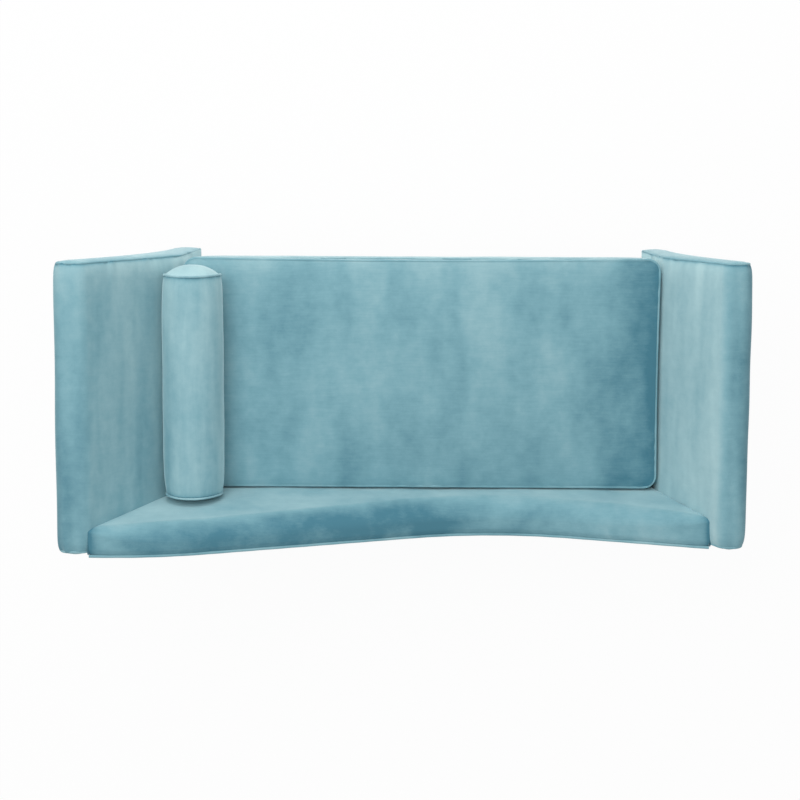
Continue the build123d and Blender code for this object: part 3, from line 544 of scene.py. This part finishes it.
headEnd = (float(innerX(arms["head"], back["headZ"])), back["headZ"])
footEnd = (-float(innerX(arms["foot"], back["footZ"])), back["footZ"])
topLine = np.vstack([
    [footEnd],
    roundedCorner(footEnd, back["dip"], back["crest"], back["dipRadius"]),
    roundedCorner(back["dip"], back["crest"], headEnd, back["crestRadius"]),
    [headEnd],
])


def topZ(x):
    return np.interp(x, topLine[:, 0], topLine[:, 1])


def acrossBack(share, z, gap=0.0):  # X between the two arms at a height
    return (-innerX(arms["foot"], z) + gap) * (1 - share) + (innerX(arms["head"], z) - gap) * share


def topAcross(share, gap=0.0, drop=0.0):  # top line as X and Z for shares of the width, found by halving
    x = acrossBack(share, back["dip"][1], gap)
    for settle in range(30):
        x = 0.5 * x + 0.5 * acrossBack(share, topZ(x) - drop, gap)
    return x, topZ(x) - drop


def backCover():
    # per column: upright, leaning face, roll and top strip; ends follow the arms, so the corners are mitred
    share = np.linspace(0, 1, back["columns"])
    share = share - 0.035 * np.sin(2 * np.pi * share)  # closer columns near the ends
    top = topAcross(share)[1]
    endGap = np.minimum(share, 1 - share) * back["length"]
    tight = back["endTight"] * fade(endGap, 0.10)
    high, deep = back["rollHigh"] - tight, back["rollDeep"] - tight
    lean, knee, deck = sofa["recline"], sofa["kneeZ"], sofa["railTopZ"]
    touch = top - high  # where the leaning face meets the roll
    below = np.linspace(0, 1, 12)[:-1, None] + 0 * top
    above = np.linspace(0, 1, 50)[:-1, None] + 0 * top
    turn = np.linspace(0, np.pi / 2, 40)[:-1, None] + 0 * top
    strip = np.linspace(0, 1, 14)[:, None] + 0 * top
    faceZ = np.concatenate([deck + below * (knee - deck), knee + above * (touch - knee)])
    rollY = insideY(touch) + deep * (1 - np.cos(turn)) + math.tan(lean) * high * np.sin(turn) * np.cos(turn)
    rollTilt = np.arctan2(deep * np.sin(turn), high * np.cos(turn) + 1e-9)
    stripY = insideY(touch) + deep
    rearY = outsideY(top) - sofa["facing"]
    z = np.concatenate([faceZ, touch + high * np.sin(turn), top + 0 * strip])
    y = np.concatenate([insideY(faceZ), rollY, stripY + strip * (rearY - stripY)])
    tilt = np.concatenate([0 * below, lean + 0 * above, rollTilt, np.pi / 2 + 0 * strip])
    x = acrossBack(share, z, back["armGap"])
    rearGap = np.maximum(rearY - y, 0.0)
    puff = back["crown"] * (1 - fade(endGap, 0.03))
    puff = puff - back["tuck"] * np.exp(-(endGap / back["tuckLength"]) ** 2)
    puff = puff - back["rearTuck"] * np.exp(-(rearGap / back["tuckLength"]) ** 2) * (z > touch - 0.01)
    puff = puff + back["slack"] * softNoise(x, z + y, 0.2, 5) * (1 - fade(endGap, 0.05))
    points = np.stack([x, y - puff * np.cos(tilt), z + puff * np.sin(tilt)], -1)
    slope = np.gradient(top) / np.gradient(acrossBack(share, top))
    stands = upright(points) ** 2
    nap = 0.9 * stands - 1.6 * np.maximum(slope, 0) * (1 - stands)  # painted shade along the rise to the head; paler where the face stands upright, a painted sheen
    nap = nap - 1.2 * fade(endGap, 0.007)  # and painted shade in the corners
    ends = points[:, [0, -1]]  # the cover goes round both ends as far as the outside panel
    ends[..., 1] = np.maximum(outsideY(ends[..., 2]) - sofa["facing"] - 0.002, ends[..., 1] + 0.001)
    points = np.concatenate([ends[:, :1], points, ends[:, 1:]], axis=1)
    return putMesh("backCover", points, flip=True, nap=np.pad(nap, ((0, 0), (1, 1)), mode="edge"))


def backPanel():
    # flat outside panel on the raked plane, domed a few millimetres between its edges
    share = np.linspace(0, 1, 220)
    rise = (1 - np.cos(np.linspace(0, np.pi, 60))) / 2
    top = topAcross(share, back["panelGap"], back["panelDrop"])[1]
    z = sofa["baseZ"] + rise[:, None] * (top - sofa["baseZ"])
    x = acrossBack(share, z, back["panelGap"])
    fromTop = top - z
    endGap = np.minimum(share, 1 - share) * back["panelLength"]
    near = np.minimum(endGap, np.minimum(fromTop, z - sofa["baseZ"]))
    dome = back["panelDome"] * (1 - fade(near, 0.02)) - 0.004 * fade(fromTop, 0.003)  # tucked under the welt
    dome += 0.0008 * softNoise(x, z, 0.25, 9) * (1 - fade(near, 0.05))
    points = np.stack([x, outsideY(z) - back["panelSink"] + dome, z], -1)
    ends = points[:, [0, -1]] - [0, back["panelTurn"], 0]  # the cloth goes round both ends of the board
    return putMesh("backPanel", np.concatenate([ends[:, :1], points, ends[:, 1:]], axis=1))


def backWelt():
    x, z = topAcross(np.linspace(0, 1, 420), 0.0015, sofa["weltRadius"])
    y = outsideY(z) - sofa["facing"] + sofa["weltRadius"]
    return tube("backWelt", np.stack([x, y, z], -1), sofa["weltRadius"])


dress(backCover(), backVelvet, "chaise_frame", ["back_cover", "back_foam"], skin=0.002)
dress(backPanel(), upVelvet, "chaise_frame", ["back_outer_facing"], skin=0.002)
dress(backWelt(), backVelvet, "chaise_frame", ["back_welt"])
print("back ready")


# Seat cushion: boxed, with a welt round each panel and a zip in the rear

cushion = {
    "corner": 0.030,
    "pullIn": 0.003,
    "corners": 0.004,  # how far the front corners stand forward
    "girth": 3.5,  # about the length of the loop
    "around": 640,
    "crown": 0.017,
    "rim": 0.002,
    "fullness": 0.0035,
    "slack": 0.0013,
    "pucker": 0.0010,
    "puckerPitch": 0.0062,
    "under": 0.0028,
    "bulge": 0.006,
    "bulgeLimit": 0.0052,
    "zipTooth": 0.0025,
    "zipCoil": 0.0010,
}
zipLow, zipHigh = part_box("cushion_zip")
weltLow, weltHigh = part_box("cushion_welts")
lowZ = weltLow[2] + sofa["weltRadius"]
highZ = weltHigh[2] - sofa["weltRadius"]
seatMiddle = np.array([(weltLow[0] + weltHigh[0]) / 2, (weltLow[1] + weltHigh[1]) / 2])
seatHalf = np.array([(weltHigh[0] - weltLow[0]) / 2, (weltHigh[1] - weltLow[1]) / 2]) - sofa["weltRadius"]
cushionRun = np.linspace(0, cushion["girth"], cushion["around"], endpoint=False)


def cushionLoop(inset=0.0):
    # rounded rectangle seen from above, with the front and the two ends drawn in towards their middles
    half, r = seatHalf - inset, cushion["corner"] - inset
    quarter = math.pi / 2
    loop = np.vstack([
        arc((signX * (half[0] - r), signY * (half[1] - r)), r, i * quarter, (i + 1) * quarter, 12)
        for i, (signX, signY) in enumerate([(1, 1), (-1, 1), (-1, -1), (1, -1)])
    ])
    loop = evenPath(loop, cushion["around"], closed=True)
    share = loop / half
    draw = cushion["pullIn"] * (1 - np.minimum(1, share ** 2))
    atFront = np.clip(-5 * share[:, 1] - 4, 0, 1)
    loop[:, 1] += atFront * (2 * draw[:, 0] - cushion["corners"])
    loop[:, 0] -= np.where(np.abs(share[:, 0]) > 0.97, np.sign(share[:, 0]) * draw[:, 1], 0)
    return loop + seatMiddle


def cushionPanel(name, top):
    # rings from the seam to the middle; on top the height is rim + crown * (1 - |x|^3.4) * (1 - |y|^2.4),
    # drawn down a little at the seam
    ring = 1 - (1 - np.linspace(1, 0, 70)) ** 1.5
    loop = cushionLoop(sofa["weltRadius"] * (0.5 if top else 0.9))
    flat = seatMiddle + ring[:, None, None] * (loop - seatMiddle)[None, :, :]
    share = np.clip(np.abs(flat - seatMiddle) / seatHalf, 0, 1)
    near = np.minimum((1 - share[..., 0]) * seatHalf[0], (1 - share[..., 1]) * seatHalf[1])
    near = np.maximum(near - sofa["weltRadius"], 0)
    if top:
        rise = cushion["crown"] * (1 - share[..., 0] ** 3.4) * (1 - share[..., 1] ** 2.4)
        rise += cushion["fullness"] * (1 - 0.7 * fade(near, 0.012))
        rise += cushion["slack"] * softNoise(flat[..., 0], flat[..., 1], 0.24, 31) * (1 - fade(near, 0.06))
        run = cushionRun[None, :]
        folds = np.sin(run / cushion["puckerPitch"] + 2 * softNoise(run, 0 * run, 0.1, 33))
        folds *= np.clip(softNoise(run, 0 * run, 0.16, 34), 0, 1)  # in a few places only
        rise += cushion["pucker"] * folds * fade(near, 0.016)
        z = highZ + cushion["rim"] + rise
    else:
        z = lowZ - 0.0005 - cushion["under"] * (1 - fade(near, 0.01))
    toFoot = np.clip((seatMiddle[0] - flat[..., 0]) / seatHalf[0], 0, 1)
    fromFront = flat[..., 1] - seatMiddle[1] + seatHalf[1]
    nap = 0.1 - toFoot ** 5 + 0.35 * fade(fromFront, 0.07)  # painted shade at the foot end, painted highlight along the front
    points = np.concatenate([flat, z[..., None]], -1)
    return putMesh(name, points, wrapV=True, weld=True, nap=nap if top else 0.0)


def cushionBoxing():
    # the loop carried up from welt to welt, swelling out between them; the rear is slit where the zip lies
    slit = [zipLow[2] - 0.0010, zipLow[2] - 0.0002, zipHigh[2] + 0.0002, zipHigh[2] + 0.0010]
    rise = np.sort(np.append(np.linspace(0, 1, 40), (np.array(slit) - lowZ) / (highZ - lowZ)))[:, None]
    loop = cushionLoop(sofa["weltRadius"] * 0.6)
    ahead = np.roll(loop, -1, axis=0) - np.roll(loop, 1, axis=0)
    normal = np.stack([ahead[:, 1], -ahead[:, 0]], -1) / np.linalg.norm(ahead, axis=1, keepdims=True)
    atRear = np.clip((loop[:, 1] - seatMiddle[1]) / seatHalf[1], 0, 1) ** 12
    out = cushion["bulge"] * (1 - (2 * rise - 1) ** 2) * (1 - 0.9 * atRear)[None, :] + 0.0018
    slack = softNoise(cushionRun[None, :] + 0 * out, rise * 0.15 + 0 * out, 0.09, 41) * np.sin(np.pi * rise)
    out = np.minimum(out, cushion["bulgeLimit"]) + 0.0006 * slack
    flat = loop[None, :, :] + out[..., None] * normal[None, :, :]
    x, y = flat[..., 0], flat[..., 1]
    z = lowZ + rise * (highZ - lowZ) + 0 * out
    beside = (x > zipLow[0] - 0.003) & (x < zipHigh[0] + 0.003) & (y > seatMiddle[1])
    folded = beside & (z > zipLow[2] - 0.0005) & (z < zipHigh[2] + 0.0005)
    y = np.where(folded, zipLow[1] - 0.0006, y)  # folded in behind the tape
    nap = 1 - 2.2 * fade(highZ - z, 0.014)  # painted shade under the top welt; paler elsewhere
    return putMesh("cushionBoxing", np.stack([x, y, z], -1), wrapV=True, flip=True, nap=nap)


def zipTape():
    # flat tape with a coil along its middle: height = coil * root of (1 - across^2) * toothed wave along X,
    # with a groove between the two rows of teeth
    tooth, coil = cushion["zipTooth"], cushion["zipCoil"]
    x = np.linspace(zipLow[0], zipHigh[0], int((zipHigh[0] - zipLow[0]) / tooth * 4))[None, :]
    across = np.linspace(-1, 1, 17)[:, None]
    z = (zipLow[2] + zipHigh[2]) / 2 + across * (zipHigh[2] - zipLow[2]) / 2
    wave = 0.6 + 0.4 * np.cos(2 * np.pi * (x / tooth + 0.5 * (across > 0)))
    groove = 1 - 0.8 * np.exp(-(across / 0.06) ** 2)
    y = zipHigh[1] - coil + coil * np.maximum(0, 1 - (across / 0.42) ** 2) ** 0.5 * wave * groove
    return putMesh("zipTape", np.stack([x + 0 * y, y, z + 0 * y], -1), nap=0.0)


def cushionWelt(name, z):
    loop = cushionLoop()
    wander = 0.0006 * softNoise(cushionRun, 0 * cushionRun, 0.3, 51)
    return tube(name, np.stack([loop[:, 0], loop[:, 1], z + wander], -1), sofa["weltRadius"], closed=True)


dress(cushionPanel("cushionTop", True), seatVelvet, "seat_cushion",
      ["cushion_top_panel", "cushion_core"])
dress(cushionPanel("cushionUnderside", False), seatVelvet, "seat_cushion",
      ["cushion_bottom_panel"])
dress(cushionBoxing(), upVelvet, "seat_cushion", ["cushion_boxing"], skin=0.003)
dress(cushionWelt("cushionTopWelt", highZ), seatVelvet, "seat_cushion", ["cushion_welts"])
dress(cushionWelt("cushionLowWelt", lowZ), seatVelvet, "seat_cushion")
print("cushion ready")


# Bolster: a stuffed roll with a domed disc and a welt at each end

bolster = {
    "slim": 0.004,  # thinner than the solid, so that the gap beside the arm shows
    "shift": (0.0012, 0, 0.003),
    "frontReach": 0.011,
    "rearReach": 0.003,
    "fullness": 0.003,
    "slack": 0.0009,
    "endFall": 0.0032,
    "seamSag": 0.0045,
    "frontBulge": 0.026,
    "rearBulge": 0.012,
    "weltRadius": 0.0028,
    "around": 180,
}
tubeLow, tubeHigh = [np.array(c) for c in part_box("bolster_tube")]
rollAxis = (tubeLow + tubeHigh) / 2 - bolster["shift"]
rollRadius = (tubeHigh[0] - tubeLow[0]) / 2 - bolster["slim"]
endRadius = rollRadius - bolster["fullness"]
seamRadius = endRadius - bolster["endFall"]
seams = (tubeLow[1] - bolster["frontReach"], tubeHigh[1] + bolster["rearReach"])


def seamLine(turn):  # along the top of the roll the front seam is drawn in and the rear one bows out
    return bolster["seamSag"] * np.maximum(np.sin(turn), 0) ** 2


def turned(name, y, radius, **how):
    turn = around(bolster["around"])
    x = rollAxis[0] + radius * np.cos(turn)[None, :]
    z = rollAxis[2] + radius * np.sin(turn)[None, :]
    return putMesh(name, np.stack([x, y, z], -1), wrapV=True, **how)


def bolsterTube():
    # radius = end radius + fullness * (1 - y^4), falling at the seams, with slack dimples and small gathers
    share = np.linspace(-1, 1, 120)[:, None]
    turn = around(bolster["around"])[None, :]
    middle, half = sum(seams) / 2, (seams[1] - seams[0]) / 2 - 0.001
    y = middle + half * share + seamLine(turn) * np.abs(share) ** 6
    near = half * (1 - np.abs(share))
    radius = endRadius + bolster["fullness"] * (1 - share ** 4)
    radius = radius - bolster["endFall"] * np.exp(-(near / 0.022) ** 1.4)
    radius = radius + bolster["slack"] * softNoise(y, turn * rollRadius, 0.16, 61)
    gathers = np.sin(turn * 46 + 2 * softNoise(turn * rollRadius, 0 * turn, 0.07, 62))
    radius = radius + 0.0006 * gathers * fade(near, 0.02)
    nap = 1 - np.abs(np.sin(turn)) - 2.5 * fade(near, 0.005)  # painted sheen on the sides of the roll, darker on top and below, and painted shade at the seams
    return turned("bolsterTube", y, radius, nap=nap)


def bolsterEnd(name, seamY, outward, bulge):
    # a shallow dome: depth = bulge * (1 - r^2.4), gathered at the rim
    ring = np.linspace(1, 0, 40)[:, None]
    turn = around(bolster["around"])[None, :]
    gathers = np.sin(turn * 40 + 2 * softNoise(turn * rollRadius, 0 * turn, 0.06, 65)) * fade(1 - ring, 0.12)
    depth = bulge * (1 - ring ** 2.4) + 0.0007 * gathers
    y = seamY + outward * (depth - 0.001) + seamLine(turn) * ring ** 2
    radius = (seamRadius - bolster["weltRadius"] * 0.7) * ring + 0 * turn
    # both domes take a high painted shading, a painted highlight
    return turned(name, y, radius, weld=True, nap=1.6)


def bolsterWelt(name, seamY):
    turn = around(260)
    radius = seamRadius - bolster["weltRadius"] * 0.2
    y = seamY + seamLine(turn)
    path = np.stack([rollAxis[0] + radius * np.cos(turn), y, rollAxis[2] + radius * np.sin(turn)], -1)
    return tube(name, path, bolster["weltRadius"], closed=True)


dress(bolsterTube(), rollVelvet, "bolster", ["bolster_tube", "bolster_core"], skin=0.003)
dress(bolsterEnd("bolsterFrontEnd", seams[0], -1, bolster["frontBulge"]), upVelvet, "bolster",
      ["bolster_front_end"])
dress(bolsterEnd("bolsterRearEnd", seams[1], 1, bolster["rearBulge"]), upVelvet, "bolster",
      ["bolster_rear_end"])
dress(bolsterWelt("bolsterFrontWelt", seams[0]), rollVelvet, "bolster", ["bolster_welts"])
dress(bolsterWelt("bolsterRearWelt", seams[1]), rollVelvet, "bolster")
print("bolster ready")


# Seat front: a padded band over the front rail, the deck under the cushion and the cloth below the frame

seatFront = {
    "bandEdge": 0.0036,
    "bandFullness": 0.003,
    "deckEdge": 0.0055,
    "deckSlack": 0.0006,
    "clothSag": 0.004,
}


def frontBand():
    # section: up the front face, rounded at both edges, carried along the length
    low, high = [np.array(c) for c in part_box("front_border")]
    edge = seatFront["bandEdge"]
    section = evenPath(np.vstack([
        [(high[1], low[2])],
        arc((low[1] + edge, low[2] + edge), edge, -math.pi / 2, -math.pi),
        arc((low[1] + edge, high[2] - edge), edge, math.pi, math.pi / 2),
        [(high[1], high[2])],
    ]), 120)
    x = np.linspace(low[0], high[0], 240)
    y = section[:, :1] + 0 * x
    z = section[:, 1:] + 0 * x
    near = np.minimum(np.minimum(x - low[0], high[0] - x), np.minimum(z - low[2], high[2] - z))
    inFront = section[:, :1] < low[1] + 0.001
    y = y - seatFront["bandFullness"] * (1 - fade(near, 0.03)) * inFront
    y = y + 0.0005 * softNoise(x + 0 * z, z, 0.2, 71)
    nap = np.where((z > high[2] - 0.001) & (y > low[1] + 0.002), -2.0, 1.0)  # painted shadow under the cushion's edge, paler elsewhere
    return putMesh("frontBand", np.stack([x + 0 * y, y, z], -1), flip=True, nap=nap)


def deckPad():
    # slab with a slack top and rounded edges, one closed loop carried along the length
    low, high = [np.array(c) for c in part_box("seat_deck_pad")]
    edge, middle = seatFront["deckEdge"], (low + high) / 2
    loop = evenPath(np.vstack([
        arc((high[1] - edge, high[2] - edge), edge, 0, math.pi / 2),
        arc((low[1] + edge, high[2] - edge), edge, math.pi / 2, math.pi),
        arc((low[1] + edge, low[2] + edge), edge, math.pi, 1.5 * math.pi),
        arc((high[1] - edge, low[2] + edge), edge, 1.5 * math.pi, 2 * math.pi),
    ]), 160, closed=True)
    x = np.linspace(low[0], high[0], 160)[:, None]
    y = loop[None, :, 0] + 0 * x
    z = loop[None, :, 1] + 0 * x
    slack = (z > middle[2]) & (x > low[0]) & (x < high[0])
    z = z - seatFront["deckSlack"] * (1 + softNoise(x + 0 * y, y, 0.15, 81)) * slack
    points = np.stack([x + 0 * y, y, z], -1)
    ends = points[[0, -1]]
    ends[..., 1:] = middle[1:]  # both ends close to a point
    return putMesh("deckPad", np.concatenate([ends[:1], points, ends[1:]]), wrapV=True, weld=True)


def underCloth():
    # taut sheet tacked round the frame, sagging a little between the rails
    low, high = [np.array(c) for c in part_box("dust_cover")]
    x = np.linspace(low[0], high[0], 160)[:, None]
    y = np.linspace(low[1], high[1], 80)[None, :]
    length, width = high[0] - low[0], high[1] - low[1]
    sag = (np.sin(np.pi * (x - low[0]) / length) * np.sin(np.pi * (y - low[1]) / width)) ** 0.8
    z = high[2] - 0.0006 - seatFront["clothSag"] * sag + 0.0003 * softNoise(x + 0 * y, y + 0 * x, 0.12, 91)
    made = putMesh("underCloth", np.stack([x + 0 * y, y + 0 * x, z], -1), flip=True)
    return made, (length, width)


# Needled felt under a plain cotton: matt, slightly mottled
def feltCloth():
    made, tree, out, place = startMaterial("felt_deck_cloth")
    mottle = addNode(tree, "ShaderNodeTexNoise",
                     {"Scale": 1 / 0.012, "Detail": 5.0, "Roughness": 0.65}, {"Vector": place})
    colour = ramp(tree, mottle.outputs["Fac"], [(0.3, "#587f89"), (0.7, "#6f97a0")])
    relief = addNode(tree, "ShaderNodeBump", {"Strength": 0.3, "Distance": 0.0006},
                     {"Height": mottle.outputs["Fac"]})
    cloth = addNode(tree, "ShaderNodeBsdfPrincipled", {"Roughness": 0.95, "Specular IOR Level": 0.15},
                    {"Base Color": colour, "Normal": relief.outputs["Normal"]})
    tree.links.new(cloth.outputs["BSDF"], out.inputs["Surface"])
    return made


# Black spun-bonded lining cloth: dull, with the dimples of its bonding points
def liningCloth():
    made, tree, out, place = startMaterial("spunbond_lining")
    dots = addNode(tree, "ShaderNodeTexVoronoi", {"Scale": 1 / 0.003, "Randomness": 0.25}, {"Vector": place})
    colour = ramp(tree, dots.outputs["Distance"], [(0.1, "#111214"), (0.6, "#222326")])
    relief = addNode(tree, "ShaderNodeBump", {"Strength": 0.4, "Distance": 0.0004},
                     {"Height": dots.outputs["Distance"]})
    cloth = addNode(tree, "ShaderNodeBsdfPrincipled", {"Roughness": 0.9, "Specular IOR Level": 0.2},
                    {"Base Color": colour, "Normal": relief.outputs["Normal"]})
    tree.links.new(cloth.outputs["BSDF"], out.inputs["Surface"])
    return made


dress(frontBand(), upVelvet, "chaise_frame", ["front_border"], skin=-0.002)
dress(deckPad(), feltCloth(), "chaise_frame", ["seat_deck_pad"])
cloth, cut = underCloth()
dress(cloth, liningCloth(), "chaise_frame", ["dust_cover"])
print("seat front ready")


# Frame and fittings keep their CAD shape, apart from the zip's tape

# Walnut-stained beech, satin lacquer: long dark grain with fine pores and a soft gloss
def stainedBeech():
    made, tree, out, place = startMaterial("stained_beech")
    long = addNode(tree, "ShaderNodeMapping", {"Scale": (1 / 0.006, 1 / 0.006, 1 / 0.11)}, {"Vector": place})
    grain = addNode(tree, "ShaderNodeTexNoise",
                    {"Scale": 1.0, "Detail": 6.0, "Roughness": 0.62, "Distortion": 0.6},
                    {"Vector": long.outputs["Vector"]})
    colour = ramp(tree, grain.outputs["Fac"], [(0.3, "#24140d"), (0.55, "#3d2417"), (0.75, "#553524")])
    relief = addNode(tree, "ShaderNodeBump", {"Strength": 0.12, "Distance": 0.0004},
                     {"Height": grain.outputs["Fac"]})
    wood = addNode(tree, "ShaderNodeBsdfPrincipled",
                   {"Roughness": 0.38, "Coat Weight": 0.25, "Coat Roughness": 0.25},
                   {"Base Color": colour, "Normal": relief.outputs["Normal"]})
    tree.links.new(wood.outputs["BSDF"], out.inputs["Surface"])
    return made


# Planed beech for the hidden frame: pale, with flecks along the length
def planedBeech():
    made, tree, out, place = startMaterial("planed_beech")
    long = addNode(tree, "ShaderNodeMapping", {"Scale": (1 / 0.12, 1 / 0.012, 1 / 0.012)}, {"Vector": place})
    grain = addNode(tree, "ShaderNodeTexNoise", {"Scale": 1.0, "Detail": 5.0, "Roughness": 0.6},
                    {"Vector": long.outputs["Vector"]})
    colour = ramp(tree, grain.outputs["Fac"], [(0.3, "#b98f62"), (0.7, "#d3b088")])
    wood = addNode(tree, "ShaderNodeBsdfPrincipled", {"Roughness": 0.62}, {"Base Color": colour})
    tree.links.new(wood.outputs["BSDF"], out.inputs["Surface"])
    return made


# Hardboard: brown, smooth, faint fibres
def hardboard():
    made, tree, out, place = startMaterial("hardboard")
    fibres = addNode(tree, "ShaderNodeTexNoise", {"Scale": 1 / 0.004, "Detail": 4.0}, {"Vector": place})
    colour = ramp(tree, fibres.outputs["Fac"], [(0.3, "#6d4c31"), (0.7, "#8a6442")])
    board = addNode(tree, "ShaderNodeBsdfPrincipled", {"Roughness": 0.7}, {"Base Color": colour})
    tree.links.new(board.outputs["BSDF"], out.inputs["Surface"])
    return made


# Zinc-plated steel: bright, faintly cloudy
def zincSteel():
    made, tree, out, place = startMaterial("zinc_plated_steel")
    cloud = addNode(tree, "ShaderNodeTexNoise", {"Scale": 1 / 0.005, "Detail": 3.0}, {"Vector": place})
    colour = ramp(tree, cloud.outputs["Fac"], [(0.3, "#a9abad"), (0.7, "#c4c6c8")])
    rough = addNode(tree, "ShaderNodeMapRange", {"To Min": 0.28, "To Max": 0.42},
                    {"Value": cloud.outputs["Fac"]})
    metal = addNode(tree, "ShaderNodeBsdfPrincipled", {"Metallic": 1.0},
                    {"Base Color": colour, "Roughness": rough.outputs["Result"]})
    tree.links.new(metal.outputs["BSDF"], out.inputs["Surface"])
    return made


# Moulded nylon: dark, low gloss, a fine spark-eroded texture
def mouldedNylon():
    made, tree, out, place = startMaterial("moulded_nylon")
    spark = addNode(tree, "ShaderNodeTexNoise", {"Scale": 1 / 0.0012, "Detail": 2.0}, {"Vector": place})
    colour = ramp(tree, spark.outputs["Fac"], [(0.3, "#2b3d42"), (0.7, "#34494f")])
    relief = addNode(tree, "ShaderNodeBump", {"Strength": 0.15, "Distance": 0.0002},
                     {"Height": spark.outputs["Fac"]})
    plastic = addNode(tree, "ShaderNodeBsdfPrincipled", {"Roughness": 0.55},
                      {"Base Color": colour, "Normal": relief.outputs["Normal"]})
    tree.links.new(plastic.outputs["BSDF"], out.inputs["Surface"])
    return made


# Elastic webbing: dark, with ribs set slantwise so that straps both ways show them
def elasticWebbing():
    made, tree, out, place = startMaterial("elastic_webbing")
    ribs = addNode(tree, "ShaderNodeTexWave",
                   {"Scale": 1 / 0.004, "wave_type": "BANDS", "bands_direction": "DIAGONAL"},
                   {"Vector": place})
    colour = ramp(tree, ribs.outputs["Fac"], [(0.2, "#17181a"), (0.8, "#34363a")])
    strap = addNode(tree, "ShaderNodeBsdfPrincipled", {"Roughness": 0.85}, {"Base Color": colour})
    tree.links.new(strap.outputs["BSDF"], out.inputs["Surface"])
    return made


finishes = {
    "leg_wood": stainedBeech(),
    "timber": planedBeech(),
    "board": hardboard(),
    "steel": zincSteel(),
    "nylon": mouldedNylon(),
    "webbing": elasticWebbing(),
}
for entry in frame["record"]["subparts"]:
    shown = frame["nodes"].get(entry["node"])
    if shown and entry["material_slot"] in finishes:
        shown.data.materials.clear()
        shown.data.materials.append(finishes[entry["material_slot"]])
dress(zipTape(), finishes["nylon"], "seat_cushion", ["cushion_zip"], skin=0.0005)
print("fittings ready")


# Stage: white floor, a large soft lamp overhead, a lower one in front, even sky

stage = {
    "key": 52.0,
    "keyAt": (0.9, -1.2, 3.9),
    "keySize": 2.2,
    "fill": 45.0,
    "fillAt": (0.4, -3.6, 1.9),
    "fillSize": 2.0,
    "aim": (0.0, 0.0, 0.4),
    "sky": 0.56,
    "floor": 30.0,
    "floorWhite": 0.95,  # share of plain white that the eye sees; the rest takes the shadow
}

reach = stage["floor"]
corners = [(-reach, -reach, 0), (reach, -reach, 0), (reach, reach, 0), (-reach, reach, 0)]
floorMesh = bpy.data.meshes.new("floor")
floorMesh.from_pydata(corners, [], [(0, 1, 2, 3)])
floor = bpy.data.objects.new("floor", floorMesh)
scene.collection.objects.link(floor)

# White paper: matt, barely specked
paper, tree, out, place = startMaterial("white_paper")
speck = addNode(tree, "ShaderNodeTexNoise", {"Scale": 1 / 0.025}, {"Vector": place})
tone = ramp(tree, speck.outputs["Fac"], [(0.3, "#f2f2f2"), (0.7, "#f6f6f6")])
matt = addNode(tree, "ShaderNodeBsdfDiffuse", None, {"Color": tone})
white = addNode(tree, "ShaderNodeEmission", {"Color": (1, 1, 1, 1), "Strength": 1.0})
rays = addNode(tree, "ShaderNodeLightPath")
seen = addNode(tree, "ShaderNodeMath", {"operation": "MAXIMUM"},
               {0: rays.outputs["Is Camera Ray"], 1: rays.outputs["Is Glossy Ray"]})
part = addNode(tree, "ShaderNodeMath", {"operation": "MULTIPLY", 1: stage["floorWhite"]},
               {0: seen.outputs[0]})
blend = addNode(tree, "ShaderNodeMixShader", None,
                {"Fac": part.outputs[0], 1: matt.outputs["BSDF"], 2: white.outputs["Emission"]})
tree.links.new(blend.outputs["Shader"], out.inputs["Surface"])
floorMesh.materials.append(paper)

world = bpy.data.worlds.new("studio")
scene.world = world
world.use_nodes = True
tree = world.node_tree
tree.nodes.clear()
out = addNode(tree, "ShaderNodeOutputWorld")
rays = addNode(tree, "ShaderNodeLightPath")
lit = addNode(tree, "ShaderNodeBackground", {"Color": (1, 1, 1, 1), "Strength": stage["sky"]})
plain = addNode(tree, "ShaderNodeBackground", {"Color": (1, 1, 1, 1), "Strength": 1.0})
sky = addNode(tree, "ShaderNodeMixShader", None,
              {"Fac": rays.outputs["Is Camera Ray"], 1: lit.outputs[0], 2: plain.outputs[0]})
tree.links.new(sky.outputs["Shader"], out.inputs["Surface"])

for name in ("key", "fill"):
    lamp = bpy.data.lights.new(name, "AREA")
    lamp.energy, lamp.size = stage[name], stage[name + "Size"]
    box = bpy.data.objects.new(name, lamp)
    box.location = stage[name + "At"]
    aim = np.subtract(stage["aim"], stage[name + "At"])
    tip = math.acos(-aim[2] / np.linalg.norm(aim))
    box.rotation_euler = (tip, 0, math.atan2(aim[1], aim[0]) - math.pi / 2)
    box.visible_camera = False
    scene.collection.objects.link(box)

view = {"at": (-0.022, -0.3722, 4.1365), "turn": (-6.037, 0.539, 180.243), "lens": 65.25}
eye = bpy.data.objects.new("eye", bpy.data.cameras.new("eye"))
eye.data.lens = view["lens"]
eye.data.sensor_width = 36.0
eye.data.clip_end = 200.0
eye.location = view["at"]
eye.rotation_euler = [math.radians(a) for a in view["turn"]]
scene.collection.objects.link(eye)
scene.camera = eye
print("stage ready")
